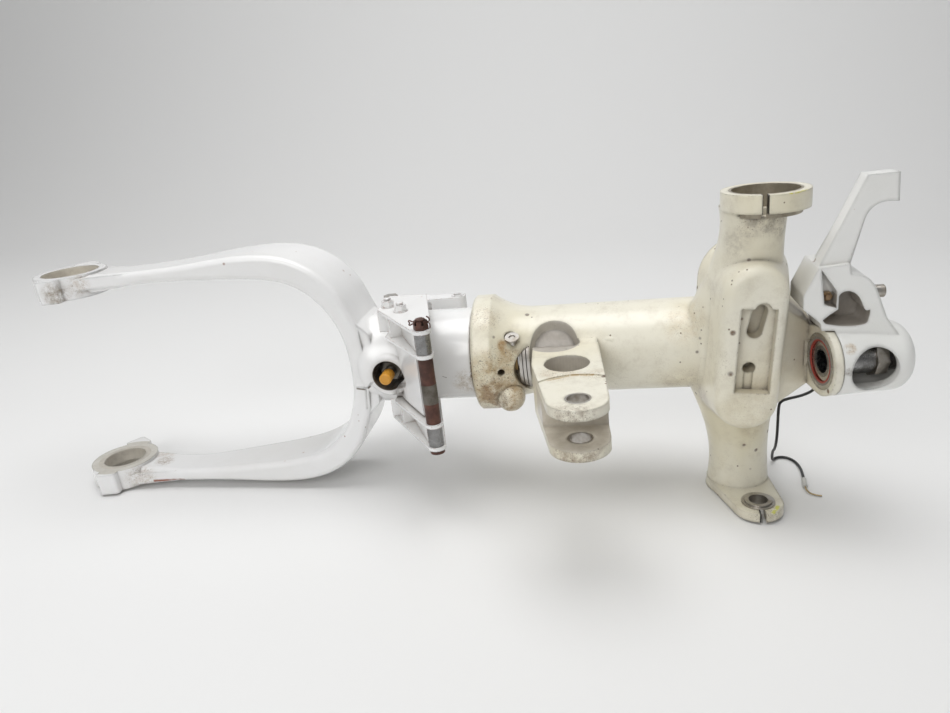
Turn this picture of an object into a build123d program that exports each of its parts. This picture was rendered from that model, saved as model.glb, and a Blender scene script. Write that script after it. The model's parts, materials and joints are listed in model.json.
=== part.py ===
# Nose landing gear: trunnion housing, shock strut, wheel fork, link pin and steering bellcrank
import os
from math import atan2, cos, degrees, pi, radians, sin, tan

from build123d import *

os.makedirs("parts", exist_ok=True)

# Everything is drawn in the gear's own axes: X runs up the strut from the wheel to the trunnion,
# Z runs across along axle and trunnion, and -Y is the side that faces forward in the photograph.
# The trunnion axis crosses the strut axis' plane at x = 0.

# housing tube and collar
tube_r = 40.0
bore_r = tube_r - 9.0
collar_r = 53.0
mouth_x = -241.0
collar_flat = 17.0
collar_slope = 38.0
collar_round = 2.0
tube_end_x = 27.0
end_wall = 9.0
filler_y = 20.0
filler_r = 11.0
filler_flange = 2.5
groove_x = (mouth_x + 40.0, mouth_x + 50.0)
groove_r = tube_r - 1.5
grease_hole_r = 3.0

# grease plug on the collar's slope
plug_seat = (mouth_x + 36.0, -37.5, 24.5)
plug_lean = 22.0
plug_face_r = 7.0
plug_stem_r = 3.5
plug_depth = 10.0
plug_rim = 1.6

# trunnion
pin_offset_y = -42.0
ring_r = 33.0
ring_bore_r = 27.0
ring_top_z = 136.0
ring_thick = 14.0
liner_wall = 2.0
arm_top_r = 26.0
arm_top_xy = (-7.5, -37.0)
arm_wall = 9.0
arm_r = 28.0
arm_low_xy = (-10.0, 2.0)
lug_r = 21.0
lug_face_z = -136.0
lug_thick = 8.0
lug_bore_r = 8.0
washer = 1.2
slit = 4.0

# pad, pocket and ear on the trunnion block
pad_front_y = -74.0
pad_size = (134.0, 46.0)
pad_centre = (-13.0, 15.0)
pad_draft = 12.0
pad_round = 9.0
lean = 4.0
pocket_size = (27.0, 70.0)
pocket_depth = 10.0
ear_centre = (41.0, -58.0, -1.0)
ear_yaw = 10.0
ear_r = 28.0
ear_thick = 6.0
ear_lip = 1.0
seat_back = 4.0
seat_from = 0.2
seal_len = 1.0
seal_r = (16.2, 19.5)
race_r = 23.0
race_bore_r = 12.5
race_gap = 0.3
ball_r = 1.6
ball_count = 10

# drag brace clevis
lug_hole_xy = (-146.0, -160.0)
clevis_r = 22.5
clevis_mid_x = -146.5
clevis_half = 20.5
spot_depth = 1.0
spot_r = 43.5
clevis_gap = 23.0
clevis_root = 21.0
brace_bore_r = 8.0
brace_bush_wall = 1.5
window_1 = [(-191, -47), (-169, -22), (-147, -46)]
window_front_y = -52.0
window_2 = (-156.0, -93.0, 18.0)
window_wall_r = bore_r + 2.5

# shock strut
bush_gap = 0.05
inner_r = 28.0
inner_bore_r = 24.0
piston_r = 20.0
piston_wall = 3.5
stroke = 170.0
guide_len = 34.0
bearing_len = 40.0

# wheel fork
axle_x = -620.0
trail_y = -24.0
plate_in_z = 88.0
plate_out_z = 109.0
plate_r = 32.0
axle_bore_r = 20.0
axle_recess_r = 25.0
axle_recess = 8.0
socket_r = 42.0
socket_gap = 2.0
crown_x = -344.0
hub_root = (-351.0, 33.0)
hub_full_x = -334.0
arm_edge_fillet = 5.0

# link pin and its brackets
pin_xy = (-271.0, -88.0)
pin_r = 4.0
ear_ring_r = 7.8
flange_z = (31.0, 52.0)
flange_thick = 3.2
spacer_r = 6.5
face_gap = 0.15
centre_spacer = 17.0

# lower torque link behind the strut
link_root = (-338.0, 62.0)
link_tip = (-270.0, 66.0)
link_half = 38.0
link_flange = 15.0
link_eye_r = 10.0
link_tip_r = 8.5
link_pin_r = 5.0
side_gap = 0.3
link_pocket = (-303.0, 30.5, 15.0, 9.0)

# steering bellcrank
barrel_r = 28.0
barrel_gap = 0.6
barrel_from = ear_thick + barrel_gap
barrel_len = 59.0
barrel_bore_r = 20.5
barrel_wall = 7.0
barrel_round = 14.0
barrel_window_xz = (75.5, -2.5)
barrel_window_r = 17.8
crank_room = 1.2
shaft_wall = 3.0
crank_front_y = -66.0
crank_back_y = -24.0
arm_front_y = -60.0
arm_back_y = -44.0
stub_r = 5.0
stub_yz = (-48.0, 51.5)
stub_seat_x = 76.0
stub_len = 12.0

saddle_bolts = [(-318, -16), (-302, -33)]
bolt_r = 3.0
piston_seat = -304.0
hub_bolt_xz = (-320.0, -3.5)
hub_floor_y = -16.0
hub_back_y = 40.5
hub_boss_r = 19.0
hub_boss_y = (-20.0, 42.5)
hub_boss_round = 4.0
hub_recess_r = 14.0
hub_lobe_y = 31.0
hub_lobe_r = 9.0
web_z = (-27.0, 28.0)

# sensor wire
wire_r = 1.3
sleeve_r = 2.2
sleeve_len = 14.0
tip_r = 0.8
floor_gap = 0.05


# Round ring or solid plug about the strut axis.
def ring(x_from, x_to, r_out, r_in=0.0):
    with BuildPart() as body:
        with BuildSketch(Plane.YZ.offset(x_from)):
            Circle(r_out)
            if r_in > 0:
                Circle(r_in, mode=Mode.SUBTRACT)
        extrude(amount=x_to - x_from)
    return body.part


# Round post or washer across the gear, about an axis along Z.
def post(centre, z_from, z_to, r_out, r_in=0.0):
    with BuildPart() as body:
        with BuildSketch(Plane.XY.offset(z_from)):
            with Locations(centre):
                Circle(r_out)
                if r_in > 0:
                    Circle(r_in, mode=Mode.SUBTRACT)
        extrude(amount=z_to - z_from)
    return body.part


# ear and bellcrank axis: Z of this plane runs out of the ear towards the bellcrank
ear_plane = Plane(
    origin=ear_centre,
    x_dir=(-sin(radians(ear_yaw)), cos(radians(ear_yaw)), 0),
    z_dir=(cos(radians(ear_yaw)), sin(radians(ear_yaw)), 0),
)


# Round piece about the ear axis, from one distance along it to another.
def ear_ring(s_from, s_to, r_out, r_in=0.0):
    with BuildPart() as body:
        with BuildSketch(ear_plane.offset(s_from)):
            Circle(r_out)
            if r_in > 0:
                Circle(r_in, mode=Mode.SUBTRACT)
        extrude(amount=s_to - s_from)
    return body.part


# arched pad that carries the pocket, with a soft front edge
with BuildPart() as pad:
    with BuildSketch(Plane.XZ.offset(-pad_front_y)):
        with Locations(Location((pad_centre[0], pad_centre[1]), 90 - lean)):
            SlotOverall(pad_size[0], pad_size[1])
    extrude(amount=pad_front_y + 10, taper=-pad_draft)
    fillet(pad.faces().sort_by(Axis.Y)[0].edges(), pad_round)

# plate that joins the ear to the tube's end, and the thicker root behind it
with BuildPart() as ear_web:
    with BuildSketch(ear_plane):
        Circle(ear_r)
        with BuildLine():
            Spline((-3, ear_r), (26, 23.5), (57, 44), tangents=((1, 0), (0.7, 1)))
            Line((57, 44), (57, -44))
            Spline((57, -44), (40, -31), (18, -27), (0, -ear_r), tangents=((-0.7, 1), (-1, 0.05)))
            Line((0, -ear_r), (-3, ear_r))
        make_face()
    extrude(amount=ear_thick)
    # root that thickens the plate into the pad's side
    with BuildSketch(Plane.YZ.offset(6)):
        Polygon((-60, 50), (-4, 56), (-4, -46), (-60, -38), align=None)
    with BuildSketch(ear_plane.offset(1)):
        Polygon((22, 24), (57, 42), (57, -42), (22, -27), align=None)
    loft()

# drag brace block, rounded at its front
with BuildPart() as clevis_block:
    with BuildSketch(Plane.XY.offset(-clevis_half)):
        with Locations((clevis_mid_x, lug_hole_xy[1])):
            Circle(clevis_r)
        with BuildLine():
            Polyline((-188, -20), (-184, -93), (-150, -100), (-131, -54), (-134, -20), (-188, -20))
        make_face()
        make_hull()
    extrude(amount=2 * clevis_half)

# seat of the grease plug, tipped to the front
plug_plane = Plane(
    origin=plug_seat,
    x_dir=(1, 0, 0),
    z_dir=(0, -sin(radians(plug_lean)), cos(radians(plug_lean))),
)

# main housing: one casting with tube, collar, trunnion arms, ear and drag brace clevis
with BuildPart() as main_housing:
    with BuildSketch(Plane.XY):
        with BuildLine():
            flat_end = (mouth_x + collar_flat, collar_r)
            tube_start = (mouth_x + collar_flat + collar_slope, tube_r)
            Line((mouth_x, 0), (mouth_x, collar_r - collar_round))
            Line((mouth_x, collar_r - collar_round), (mouth_x + collar_round, collar_r))
            Line((mouth_x + collar_round, collar_r), flat_end)
            Spline(flat_end, tube_start, tangents=((1, -0.75), (1, 0)))
            Line(tube_start, (tube_end_x - 4, tube_r))
            Line((tube_end_x - 4, tube_r), (tube_end_x, tube_r - 4))
            Line((tube_end_x, tube_r - 4), (tube_end_x, 0))
            Line((tube_end_x, 0), (mouth_x, 0))
        make_face()
    revolve(axis=Axis.X)
    # upper trunnion arm flares from the tube to the ring
    with BuildSketch(Plane.XY):
        with Locations((-14, -14)):
            Ellipse(50, 36)
    with BuildSketch(Plane.XY.offset(44)):
        with Locations((-14, -20)):
            Ellipse(37, 33)
    with BuildSketch(Plane.XY.offset(80)):
        with Locations((-10, -30)):
            Ellipse(27, 28.5)
    with BuildSketch(Plane.XY.offset(ring_top_z - ring_thick + 2)):
        with Locations(arm_top_xy):
            Circle(arm_top_r)
    loft()
    # lower trunnion arm
    with BuildSketch(Plane.XY):
        with Locations((-16, -12)):
            Ellipse(50, 36)
    with BuildSketch(Plane.XY.offset(-44)):
        with Locations((-15, -8)):
            Ellipse(36, 33)
    with BuildSketch(Plane.XY.offset(-72)):
        with Locations((-12, -1)):
            Ellipse(29.5, 28)
    with BuildSketch(Plane.XY.offset(lug_face_z - lug_thick)):
        with Locations(arm_low_xy):
            Circle(arm_r)
    loft()
    # ring of the upper trunnion
    with BuildSketch(Plane.XY.offset(ring_top_z - ring_thick)):
        with Locations((0, pin_offset_y)):
            Circle(ring_r)
    extrude(amount=ring_thick)
    # lug plate of the lower trunnion
    with BuildSketch(Plane.XY.offset(lug_face_z - lug_thick)):
        with Locations((0, pin_offset_y - 4)):
            Circle(lug_r)
        with Locations(arm_low_xy):
            Circle(arm_r - 1)
        make_hull()
    extrude(amount=lug_thick)
    add(pad.part)
    # web and boss of the ear, flush with its face
    add(ear_web.part)
    # drag brace block
    add(clevis_block.part)
    # rounded boss under the collar
    with Locations((mouth_x + 30, -36, -31)):
        Sphere(13)
    # strut bore, seal groove and trunnion bores
    with BuildSketch(Plane.YZ.offset(mouth_x)):
        Circle(bore_r)
    extrude(amount=tube_end_x - end_wall - mouth_x, mode=Mode.SUBTRACT)
    with BuildSketch(Plane.YZ.offset(groove_x[0])):
        Circle(groove_r)
    extrude(amount=groove_x[1] - groove_x[0], mode=Mode.SUBTRACT)
    with BuildSketch(Plane.XY.offset(ring_top_z)):
        with Locations((0, pin_offset_y)):
            Circle(ring_bore_r)
    extrude(amount=-ring_thick - 4, mode=Mode.SUBTRACT)
    with BuildSketch(Plane.XY.offset(ring_top_z)):
        with Locations(arm_top_xy):
            Circle(arm_top_r - arm_wall)
    extrude(amount=-58, mode=Mode.SUBTRACT)
    with BuildSketch(Plane.XY.offset(lug_face_z - lug_thick)):
        with Locations((0, pin_offset_y - 4)):
            Circle(lug_bore_r + 3)
    extrude(amount=lug_thick, mode=Mode.SUBTRACT)
    # pinch slits of both trunnion ends
    with Locations((-6, pin_offset_y - ring_r, ring_top_z - ring_thick / 2)):
        Box(slit, 2 * (ring_r - ring_bore_r) + 8, ring_thick + 8, mode=Mode.SUBTRACT)
    with Locations((1, pin_offset_y - 4 - lug_r, lug_face_z - lug_thick / 2)):
        Box(slit, 2 * (lug_r - lug_bore_r - 3) + 4, lug_thick + 4, mode=Mode.SUBTRACT)
    # pocket in the pad with its keyhole, round hole and drain groove
    pocket_plane = Plane(
        origin=(pad_centre[0] + 2.6, pad_front_y, pad_centre[1]),
        x_dir=(cos(radians(lean)), 0, -sin(radians(lean))),
        z_dir=(0, -1, 0),
    )
    with BuildSketch(pocket_plane):
        Rectangle(*pocket_size)
    extrude(amount=-pocket_depth, mode=Mode.SUBTRACT)
    with BuildSketch(pocket_plane.offset(-pocket_depth)):
        with Locations(Location((1, 24), 80)):
            SlotOverall(32, 13)
    extrude(amount=pocket_depth, mode=Mode.SUBTRACT)
    with BuildSketch(pocket_plane.offset(-pocket_depth)):
        with Locations(Location((1, 22), 80)):
            SlotOverall(28, 12)
    extrude(amount=-14, mode=Mode.SUBTRACT)
    with BuildSketch(pocket_plane.offset(-pocket_depth)):
        with Locations((-2, -17)):
            Circle(5)
    extrude(amount=-16, mode=Mode.SUBTRACT)
    with BuildSketch(pocket_plane.offset(-pocket_depth)):
        with Locations((-2, -28)):
            Rectangle(7, 20)
    extrude(amount=-2.5, mode=Mode.SUBTRACT)
    # bearing seat in the ear with a thin lip on the back, and its open front
    with BuildSketch(ear_plane.offset(-seat_back)):
        Circle(race_r)
    extrude(amount=seat_back + ear_thick - ear_lip, mode=Mode.SUBTRACT)
    with BuildSketch(ear_plane):
        Circle(race_bore_r + 3.5)
    extrude(amount=ear_thick + 30, mode=Mode.SUBTRACT)
    # clevis slot, spot faces and brace bore
    with Locations((lug_hole_xy[0], lug_hole_xy[1] + clevis_root - 50, 0)):
        Box(140, 100, clevis_gap, mode=Mode.SUBTRACT)
    for side in (1, -1):
        with BuildSketch(Plane.XY.offset(side * (clevis_half - spot_depth))):
            with Locations(lug_hole_xy):
                Circle(spot_r)
        extrude(amount=side * 4, mode=Mode.SUBTRACT)
    with BuildSketch(Plane.XY.offset(-clevis_half)):
        with Locations(lug_hole_xy):
            Circle(brace_bore_r + brace_bush_wall)
    extrude(amount=2 * clevis_half, mode=Mode.SUBTRACT)
    # two lightening windows: the first bites into the tube side and leaves its wall
    with BuildPart() as window_cut:
        with BuildSketch(Plane.XY.offset(-60)):
            with BuildLine():
                ThreePointArc(*window_1)
                Polyline(
                    window_1[2], (window_1[2][0] - 3, window_front_y),
                    (window_1[0][0] + 3, window_front_y), window_1[0],
                )
            make_face()
        extrude(amount=120)
        add(ring(-260, 0, window_wall_r), mode=Mode.SUBTRACT)
    add(window_cut.part, mode=Mode.SUBTRACT)
    with BuildSketch(Plane.XY.offset(-clevis_half)):
        with Locations(window_2[:2]):
            Circle(window_2[2])
    extrude(amount=2 * clevis_half, mode=Mode.SUBTRACT)
    # inspection slot that shows the ring stack, beside the clevis block
    with BuildSketch(Plane.XZ.offset(30)):
        with Locations((groove_x[1] + 9.5, -5.5)):
            Circle(24)
        with Locations((groove_x[1] + 25, -5.5)):
            Rectangle(50, 60, mode=Mode.SUBTRACT)
    extrude(amount=40, mode=Mode.SUBTRACT)
    # grease hole, plug recess and cable hole
    with Locations((mouth_x + 25, -46, -3)):
        with Locations(Rotation(90, 0, 0)):
            Cylinder(grease_hole_r, 24, mode=Mode.SUBTRACT)
    with BuildSketch(plug_plane):
        Circle(plug_face_r)
    extrude(amount=30, mode=Mode.SUBTRACT)
    with BuildSketch(plug_plane):
        Circle(plug_stem_r)
    extrude(amount=-plug_depth, mode=Mode.SUBTRACT)
main_housing.part.label = "main_housing"

# pieces pressed into the housing
bearing_from = mouth_x + 4
with BuildPart() as lower_bearing:
    add(ring(bearing_from, bearing_from + guide_len, bore_r, inner_r + bush_gap))
lower_bearing.part.label = "lower_bearing"

upper_from = tube_end_x - end_wall - bearing_len - 4
with BuildPart() as upper_bearing:
    add(ring(upper_from, upper_from + bearing_len, bore_r, inner_r + bush_gap))
upper_bearing.part.label = "upper_bearing"

with BuildPart() as dust_wiper:
    add(ring(mouth_x, bearing_from, bore_r, inner_r + 0.4))
dust_wiper.part.label = "dust_wiper"

# three locking rings side by side in the groove, seen through the slot
groove_len = groove_x[1] - groove_x[0]
ring_count = 3
ring_pitch = groove_len / ring_count
with BuildPart() as locking_rings:
    for n in range(ring_count):
        ring_from = groove_x[0] + n * ring_pitch + 0.3
        add(ring(ring_from, ring_from + ring_pitch - 0.6, groove_r, inner_r + 0.6))
locking_rings.part.label = "locking_rings"

with BuildPart() as grease_plug:
    with BuildSketch(plug_plane):
        Circle(plug_stem_r)
    extrude(amount=-plug_depth)
    with BuildSketch(plug_plane):
        Circle(plug_face_r - 0.8)
    extrude(amount=plug_rim)
    with BuildSketch(plug_plane.offset(plug_rim)):
        RegularPolygon(3, 6)
    extrude(amount=-1.2, mode=Mode.SUBTRACT)
grease_plug.part.label = "grease_plug"

with BuildPart() as upper_trunnion_liner:
    add(
        post((0, pin_offset_y), ring_top_z - ring_thick - 4, ring_top_z, ring_bore_r,
             ring_bore_r - liner_wall)
    )
    with Locations((-6, pin_offset_y - ring_bore_r, ring_top_z - ring_thick / 2)):
        Box(slit, 8, ring_thick + 12, mode=Mode.SUBTRACT)
upper_trunnion_liner.part.label = "upper_trunnion_liner"

lug_centre = (0, pin_offset_y - 4)
with BuildPart() as lower_trunnion_bush:
    add(post(lug_centre, lug_face_z - lug_thick, lug_face_z, lug_bore_r + 3, lug_bore_r))
    with Locations((1, lug_centre[1] - lug_bore_r - 2, lug_face_z - lug_thick / 2)):
        Box(slit, 6, lug_thick + 2, mode=Mode.SUBTRACT)
lower_trunnion_bush.part.label = "lower_trunnion_bush"

with BuildPart() as lower_trunnion_washers:
    add(post(lug_centre, lug_face_z, lug_face_z + washer, 14, lug_bore_r))
    add(post(lug_centre, lug_face_z + washer, lug_face_z + 2 * washer, 11.5, lug_bore_r))
lower_trunnion_washers.part.label = "lower_trunnion_washers"

# a headed bush in each clevis lug
lug_out_z = clevis_half - spot_depth
with BuildPart() as brace_bushes:
    for side in (1, -1):
        with BuildSketch(Plane.XY.offset(side * clevis_gap / 2)):
            with Locations(lug_hole_xy):
                Circle(brace_bore_r + brace_bush_wall)
                Circle(brace_bore_r, mode=Mode.SUBTRACT)
        extrude(amount=side * (lug_out_z - clevis_gap / 2))
brace_bushes.part.label = "brace_bushes"

# filler plug on the closed end, clear of the ear's web
with BuildPart() as end_plug:
    with BuildSketch(Plane.YZ.offset(tube_end_x)):
        with Locations((filler_y, 0)):
            Circle(filler_r)
    extrude(amount=filler_flange)
    with BuildSketch(Plane.YZ.offset(tube_end_x + filler_flange)):
        with Locations((filler_y, 0)):
            RegularPolygon(filler_r - 5, 6)
    extrude(amount=3)
end_plug.part.label = "end_plug"

# ear bearing: outer race in the ear, red seal, balls, and the inner race on the bellcrank shaft
race_from = seat_from + seal_len
race_to = ear_thick - ear_lip
race_mid = (race_from + race_to) / 2
ball_track = (race_r + race_bore_r) / 2
race_split = 1.2
race_section = Plane(ear_plane.origin, x_dir=ear_plane.z_dir, z_dir=ear_plane.y_dir)
ear_axis = Axis(ear_plane.origin, ear_plane.z_dir)
with BuildPart() as ear_outer_race:
    add(ear_ring(seat_from, race_to, race_r, ball_track + race_split))
    add(ear_ring(seat_from, race_from, seal_r[1]), mode=Mode.SUBTRACT)
    with BuildSketch(race_section):
        with Locations((race_mid, ball_track)):
            Circle(ball_r + bush_gap)
    revolve(axis=ear_axis, mode=Mode.SUBTRACT)
ear_outer_race.part.label = "ear_outer_race"

with BuildPart() as ear_seal:
    add(ear_ring(seat_from, race_from, seal_r[1], seal_r[0]))
ear_seal.part.label = "ear_seal"

with BuildPart() as ear_inner_race:
    add(ear_ring(race_from + race_gap, race_to, ball_track - race_split, race_bore_r))
    with BuildSketch(race_section):
        with Locations((race_mid, ball_track)):
            Circle(ball_r + bush_gap)
    revolve(axis=ear_axis, mode=Mode.SUBTRACT)
ear_inner_race.part.label = "ear_inner_race"

with BuildPart() as ear_balls:
    with Locations(ear_plane.offset(race_mid)):
        with PolarLocations(ball_track, ball_count):
            Sphere(ball_r)
ear_balls.part.label = "ear_balls"

# the inner cylinder turns in the housing and guides the piston
inner_end = tube_end_x - end_wall - 4
with BuildPart() as inner_cylinder:
    add(ring(mouth_x - 1, inner_end, inner_r, inner_bore_r))
    add(ring(inner_end - 6, inner_end, inner_bore_r))
inner_cylinder.part.label = "inner_cylinder"

with BuildPart() as piston_gland:
    add(ring(mouth_x + 3, mouth_x + 3 + guide_len, inner_bore_r, piston_r + bush_gap))
piston_gland.part.label = "piston_gland"

with BuildPart() as metering_tube:
    add(ring(-120, inner_end - 6, 11, 8.5))
    add(ring(-123, -120, 11, 3))
metering_tube.part.label = "metering_tube"

# piston: the chromed tube in the fork socket and its head in the inner cylinder
piston_top = mouth_x + 3 + guide_len + stroke + 14
with BuildPart() as piston_tube:
    add(ring(piston_seat, piston_top - 10, piston_r, piston_r - piston_wall))
piston_tube.part.label = "piston_tube"

with BuildPart() as piston_head:
    add(ring(piston_top - 10, piston_top, inner_bore_r - bush_gap, 13))
    with BuildSketch(Plane.YZ.offset(piston_top - 10)):
        Circle(piston_r - piston_wall)
        Circle(13, mode=Mode.SUBTRACT)
    extrude(amount=-12)
piston_head.part.label = "piston_head"

# wheel fork: one forging, a swept U cut to its plan outline, with axle plates, hub and socket
def fork_outline():
    with BuildSketch(Plane.XZ.offset(-60)) as outline:
        with BuildLine():
            outer = [
                (-592, 107), (-548, 107.5), (-500, 109.5), (-442, 113.5), (-404, 109), (-372, 91), (-352, 62),
            ]
            inner = [
                (-592, 91), (-544, 95.5), (-488, 94.5), (-432, 91), (-400, 83), (-375, 62), (-361, 34),
            ]
            Spline(*outer, tangents=((1, 0), (0.35, -1)))
            Spline(*inner, tangents=((1, 0.05), (0.3, -1)))
            Spline(*[(x, -z) for x, z in outer], tangents=((1, 0), (0.35, 1)))
            Spline(*[(x, -z) for x, z in inner], tangents=((1, -0.05), (0.3, 1)))
            Spline(inner[-1], (-357, 0), (inner[-1][0], -inner[-1][1]), tangents=((0.3, -1), (-0.3, -1)))
            Polyline(outer[-1], (crown_x, 42), (crown_x + 4, 0), (crown_x, -42), (outer[-1][0], -outer[-1][1]))
            Line(outer[0], inner[0])
            Line((outer[0][0], -outer[0][1]), (inner[0][0], -inner[0][1]))
        make_face()
    return outline.sketch


with BuildPart() as fork_blank:
    add(extrude(fork_outline(), amount=120))
with BuildPart() as fork_plan:
    with BuildSketch(Plane.XY.offset(-130)):
        with BuildLine():
            front = [(-600, -44), (-560, -43), (-515, -41), (-442, -37), (-390, -36), (-330, -37)]
            back = [(-600, -3), (-560, -5), (-515, 3), (-442, 20), (-390, 31), (-330, 33)]
            Spline(*front)
            Spline(*back)
            Line(front[0], back[0])
            Line(front[-1], back[-1])
        make_face()
    extrude(amount=260)

# boss round the hub bolt's recess, tapered and soft at its rim
with BuildPart() as hub_boss:
    with BuildSketch(Plane.XZ.offset(hub_boss_y[1])):
        with Locations((hub_bolt_xz[0] + 1, hub_bolt_xz[1])):
            Circle(hub_boss_r)
    extrude(amount=hub_boss_y[0] - hub_boss_y[1], taper=-18)
    fillet(hub_boss.faces().sort_by(Axis.Y)[0].edges(), hub_boss_round)

with BuildPart() as fork:
    add(fork_blank.part & fork_plan.part)
    long_edges = fork.edges().filter_by(lambda e: e.length > 150)
    fillet(long_edges, arm_edge_fillet)
    for side in (1, -1):
        with BuildSketch(Plane.XY.offset(side * plate_in_z)):
            with Locations((axle_x, trail_y)):
                Circle(plate_r)
            # stop tabs of the brake torque plate, one behind and one ahead of the axle
            with Locations(Location((axle_x - 6, trail_y + 34), -35)):
                RectangleRounded(22, 20, 4)
            with Locations(Location((axle_x + 1, trail_y - 31), 8)):
                RectangleRounded(19, 16, 3)
        extrude(amount=side * (plate_out_z - plate_in_z))
        # the plate narrows into the arm
        with BuildSketch(Plane.XY.offset(side * (plate_in_z + 7.5))):
            with Locations((axle_x + 4, trail_y)):
                Circle(plate_r - 4)
            with Locations((axle_x + 60, trail_y - 1)):
                Circle(17)
            make_hull()
        extrude(amount=side * (plate_out_z - plate_in_z - 10))
    # socket that swells out of the crown
    with BuildSketch(Plane.XY):
        with BuildLine():
            socket_end = mouth_x - socket_gap
            Line((hub_root[0], 0), hub_root)
            Spline(hub_root, (hub_full_x, socket_r), tangents=((0.35, 1), (1, 0)))
            Line((hub_full_x, socket_r), (socket_end - 1, socket_r))
            Line((socket_end - 1, socket_r), (socket_end, socket_r - 1))
            Line((socket_end, socket_r - 1), (socket_end, 0))
            Line((socket_end, 0), (hub_root[0], 0))
        make_face()
    revolve(axis=Axis.X)
    # boss round the hub bolt's recess
    add(hub_boss.part)
    # shoulder that carries the crown into the socket
    with BuildSketch(Plane.XZ.offset(34)):
        Polygon((-353, 52), (-334, 33), (-334, -33), (-353, -52), align=None)
    extrude(amount=-61)
    # web between the two link brackets
    with BuildSketch(Plane.XY.offset(web_z[0])):
        with BuildLine():
            Polyline((-312, -34), (-302, -50), (-281, -80), (-278, -76), (-290, -34), (-312, -34))
        make_face()
    extrude(amount=web_z[1] - web_z[0])
    # rear lugs for the torque link
    for side in (1, -1):
        with BuildSketch(Plane.XY.offset(side * (link_half - link_flange - side_gap))):
            with Locations(link_root):
                Circle(link_eye_r)
            with Locations((-346, 22)):
                Circle(17)
            make_hull()
        extrude(amount=-side * 8)
    # axle bores with their outer recess
    for side in (1, -1):
        with BuildSketch(Plane.XY.offset(side * plate_in_z)):
            with Locations((axle_x, trail_y)):
                Circle(axle_bore_r)
        extrude(amount=side * (plate_out_z - plate_in_z), mode=Mode.SUBTRACT)
        with BuildSketch(Plane.XY.offset(side * plate_out_z)):
            with Locations((axle_x, trail_y)):
                Circle(axle_recess_r)
        extrude(amount=-side * axle_recess, mode=Mode.SUBTRACT)
    # piston bore and end relief of the socket
    with BuildSketch(Plane.YZ.offset(piston_seat)):
        Circle(piston_r)
    extrude(amount=120, mode=Mode.SUBTRACT)
    # round recess for the hub bolt, open to the front, with a shallow lobe towards the link pin
    with BuildSketch(Plane.XZ.offset(-hub_floor_y)):
        with Locations(hub_bolt_xz):
            Circle(hub_recess_r)
    extrude(amount=60, mode=Mode.SUBTRACT)
    with BuildSketch(Plane.XZ.offset(hub_lobe_y)):
        with Locations((hub_bolt_xz[0] + 9, hub_bolt_xz[1] - 4)):
            Circle(hub_lobe_r)
    extrude(amount=60, mode=Mode.SUBTRACT)
    # bolt hole through the hub behind the recess
    with BuildSketch(Plane.XZ.offset(-60)):
        with Locations(hub_bolt_xz):
            Circle(5)
    extrude(amount=80, mode=Mode.SUBTRACT)
    with BuildSketch(Plane.XZ.offset(-hub_back_y)):
        with Locations(hub_bolt_xz):
            Circle(11)
    extrude(amount=-10, mode=Mode.SUBTRACT)
    # bolt holes of the two bracket saddles
    for side in (1, -1):
        with BuildSketch(Plane.XY.offset(side * 28)):
            with Locations(saddle_bolts):
                Circle(bolt_r)
        extrude(amount=side * 40, mode=Mode.SUBTRACT)
    # bores of the rear lugs
    with BuildSketch(Plane.XY.offset(-40)):
        with Locations(link_root):
            Circle(link_pin_r)
    extrude(amount=80, mode=Mode.SUBTRACT)
fork.part.label = "fork"


# bolt through the hub with its nut in the front recess and an orange cap nut
# Round or hexagonal piece about the hub bolt's axis, from one depth to another, front is negative y.
def hub_piece(y_from, y_to, radius, sides=0, r_in=0.0):
    with BuildPart() as body:
        with BuildSketch(Plane.XZ.offset(-y_from)):
            with Locations(hub_bolt_xz):
                if sides:
                    RegularPolygon(radius, sides)
                else:
                    Circle(radius)
                if r_in > 0:
                    Circle(r_in, mode=Mode.SUBTRACT)
        extrude(amount=y_from - y_to)
    return body.part


cap_from = -38
with BuildPart() as hub_bolt:
    add(hub_piece(hub_back_y, cap_from, 5))
    add(hub_piece(hub_back_y + 6, hub_back_y, 8.5, 6))
hub_bolt.part.label = "hub_bolt"

with BuildPart() as hub_nut:
    add(hub_piece(hub_floor_y, -18, 11, 0, 5))
    add(hub_piece(-18, -30, 9.5, 6, 5))
hub_nut.part.label = "hub_nut"

with BuildPart() as hub_cap:
    add(hub_piece(cap_from, -52, 5.4))
    chamfer(hub_cap.edges().sort_by(Axis.Y)[0], 1.2)
hub_cap.part.label = "hub_cap"

# link brackets: two thin flanges each, with a rib between them and a saddle on the hub


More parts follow.
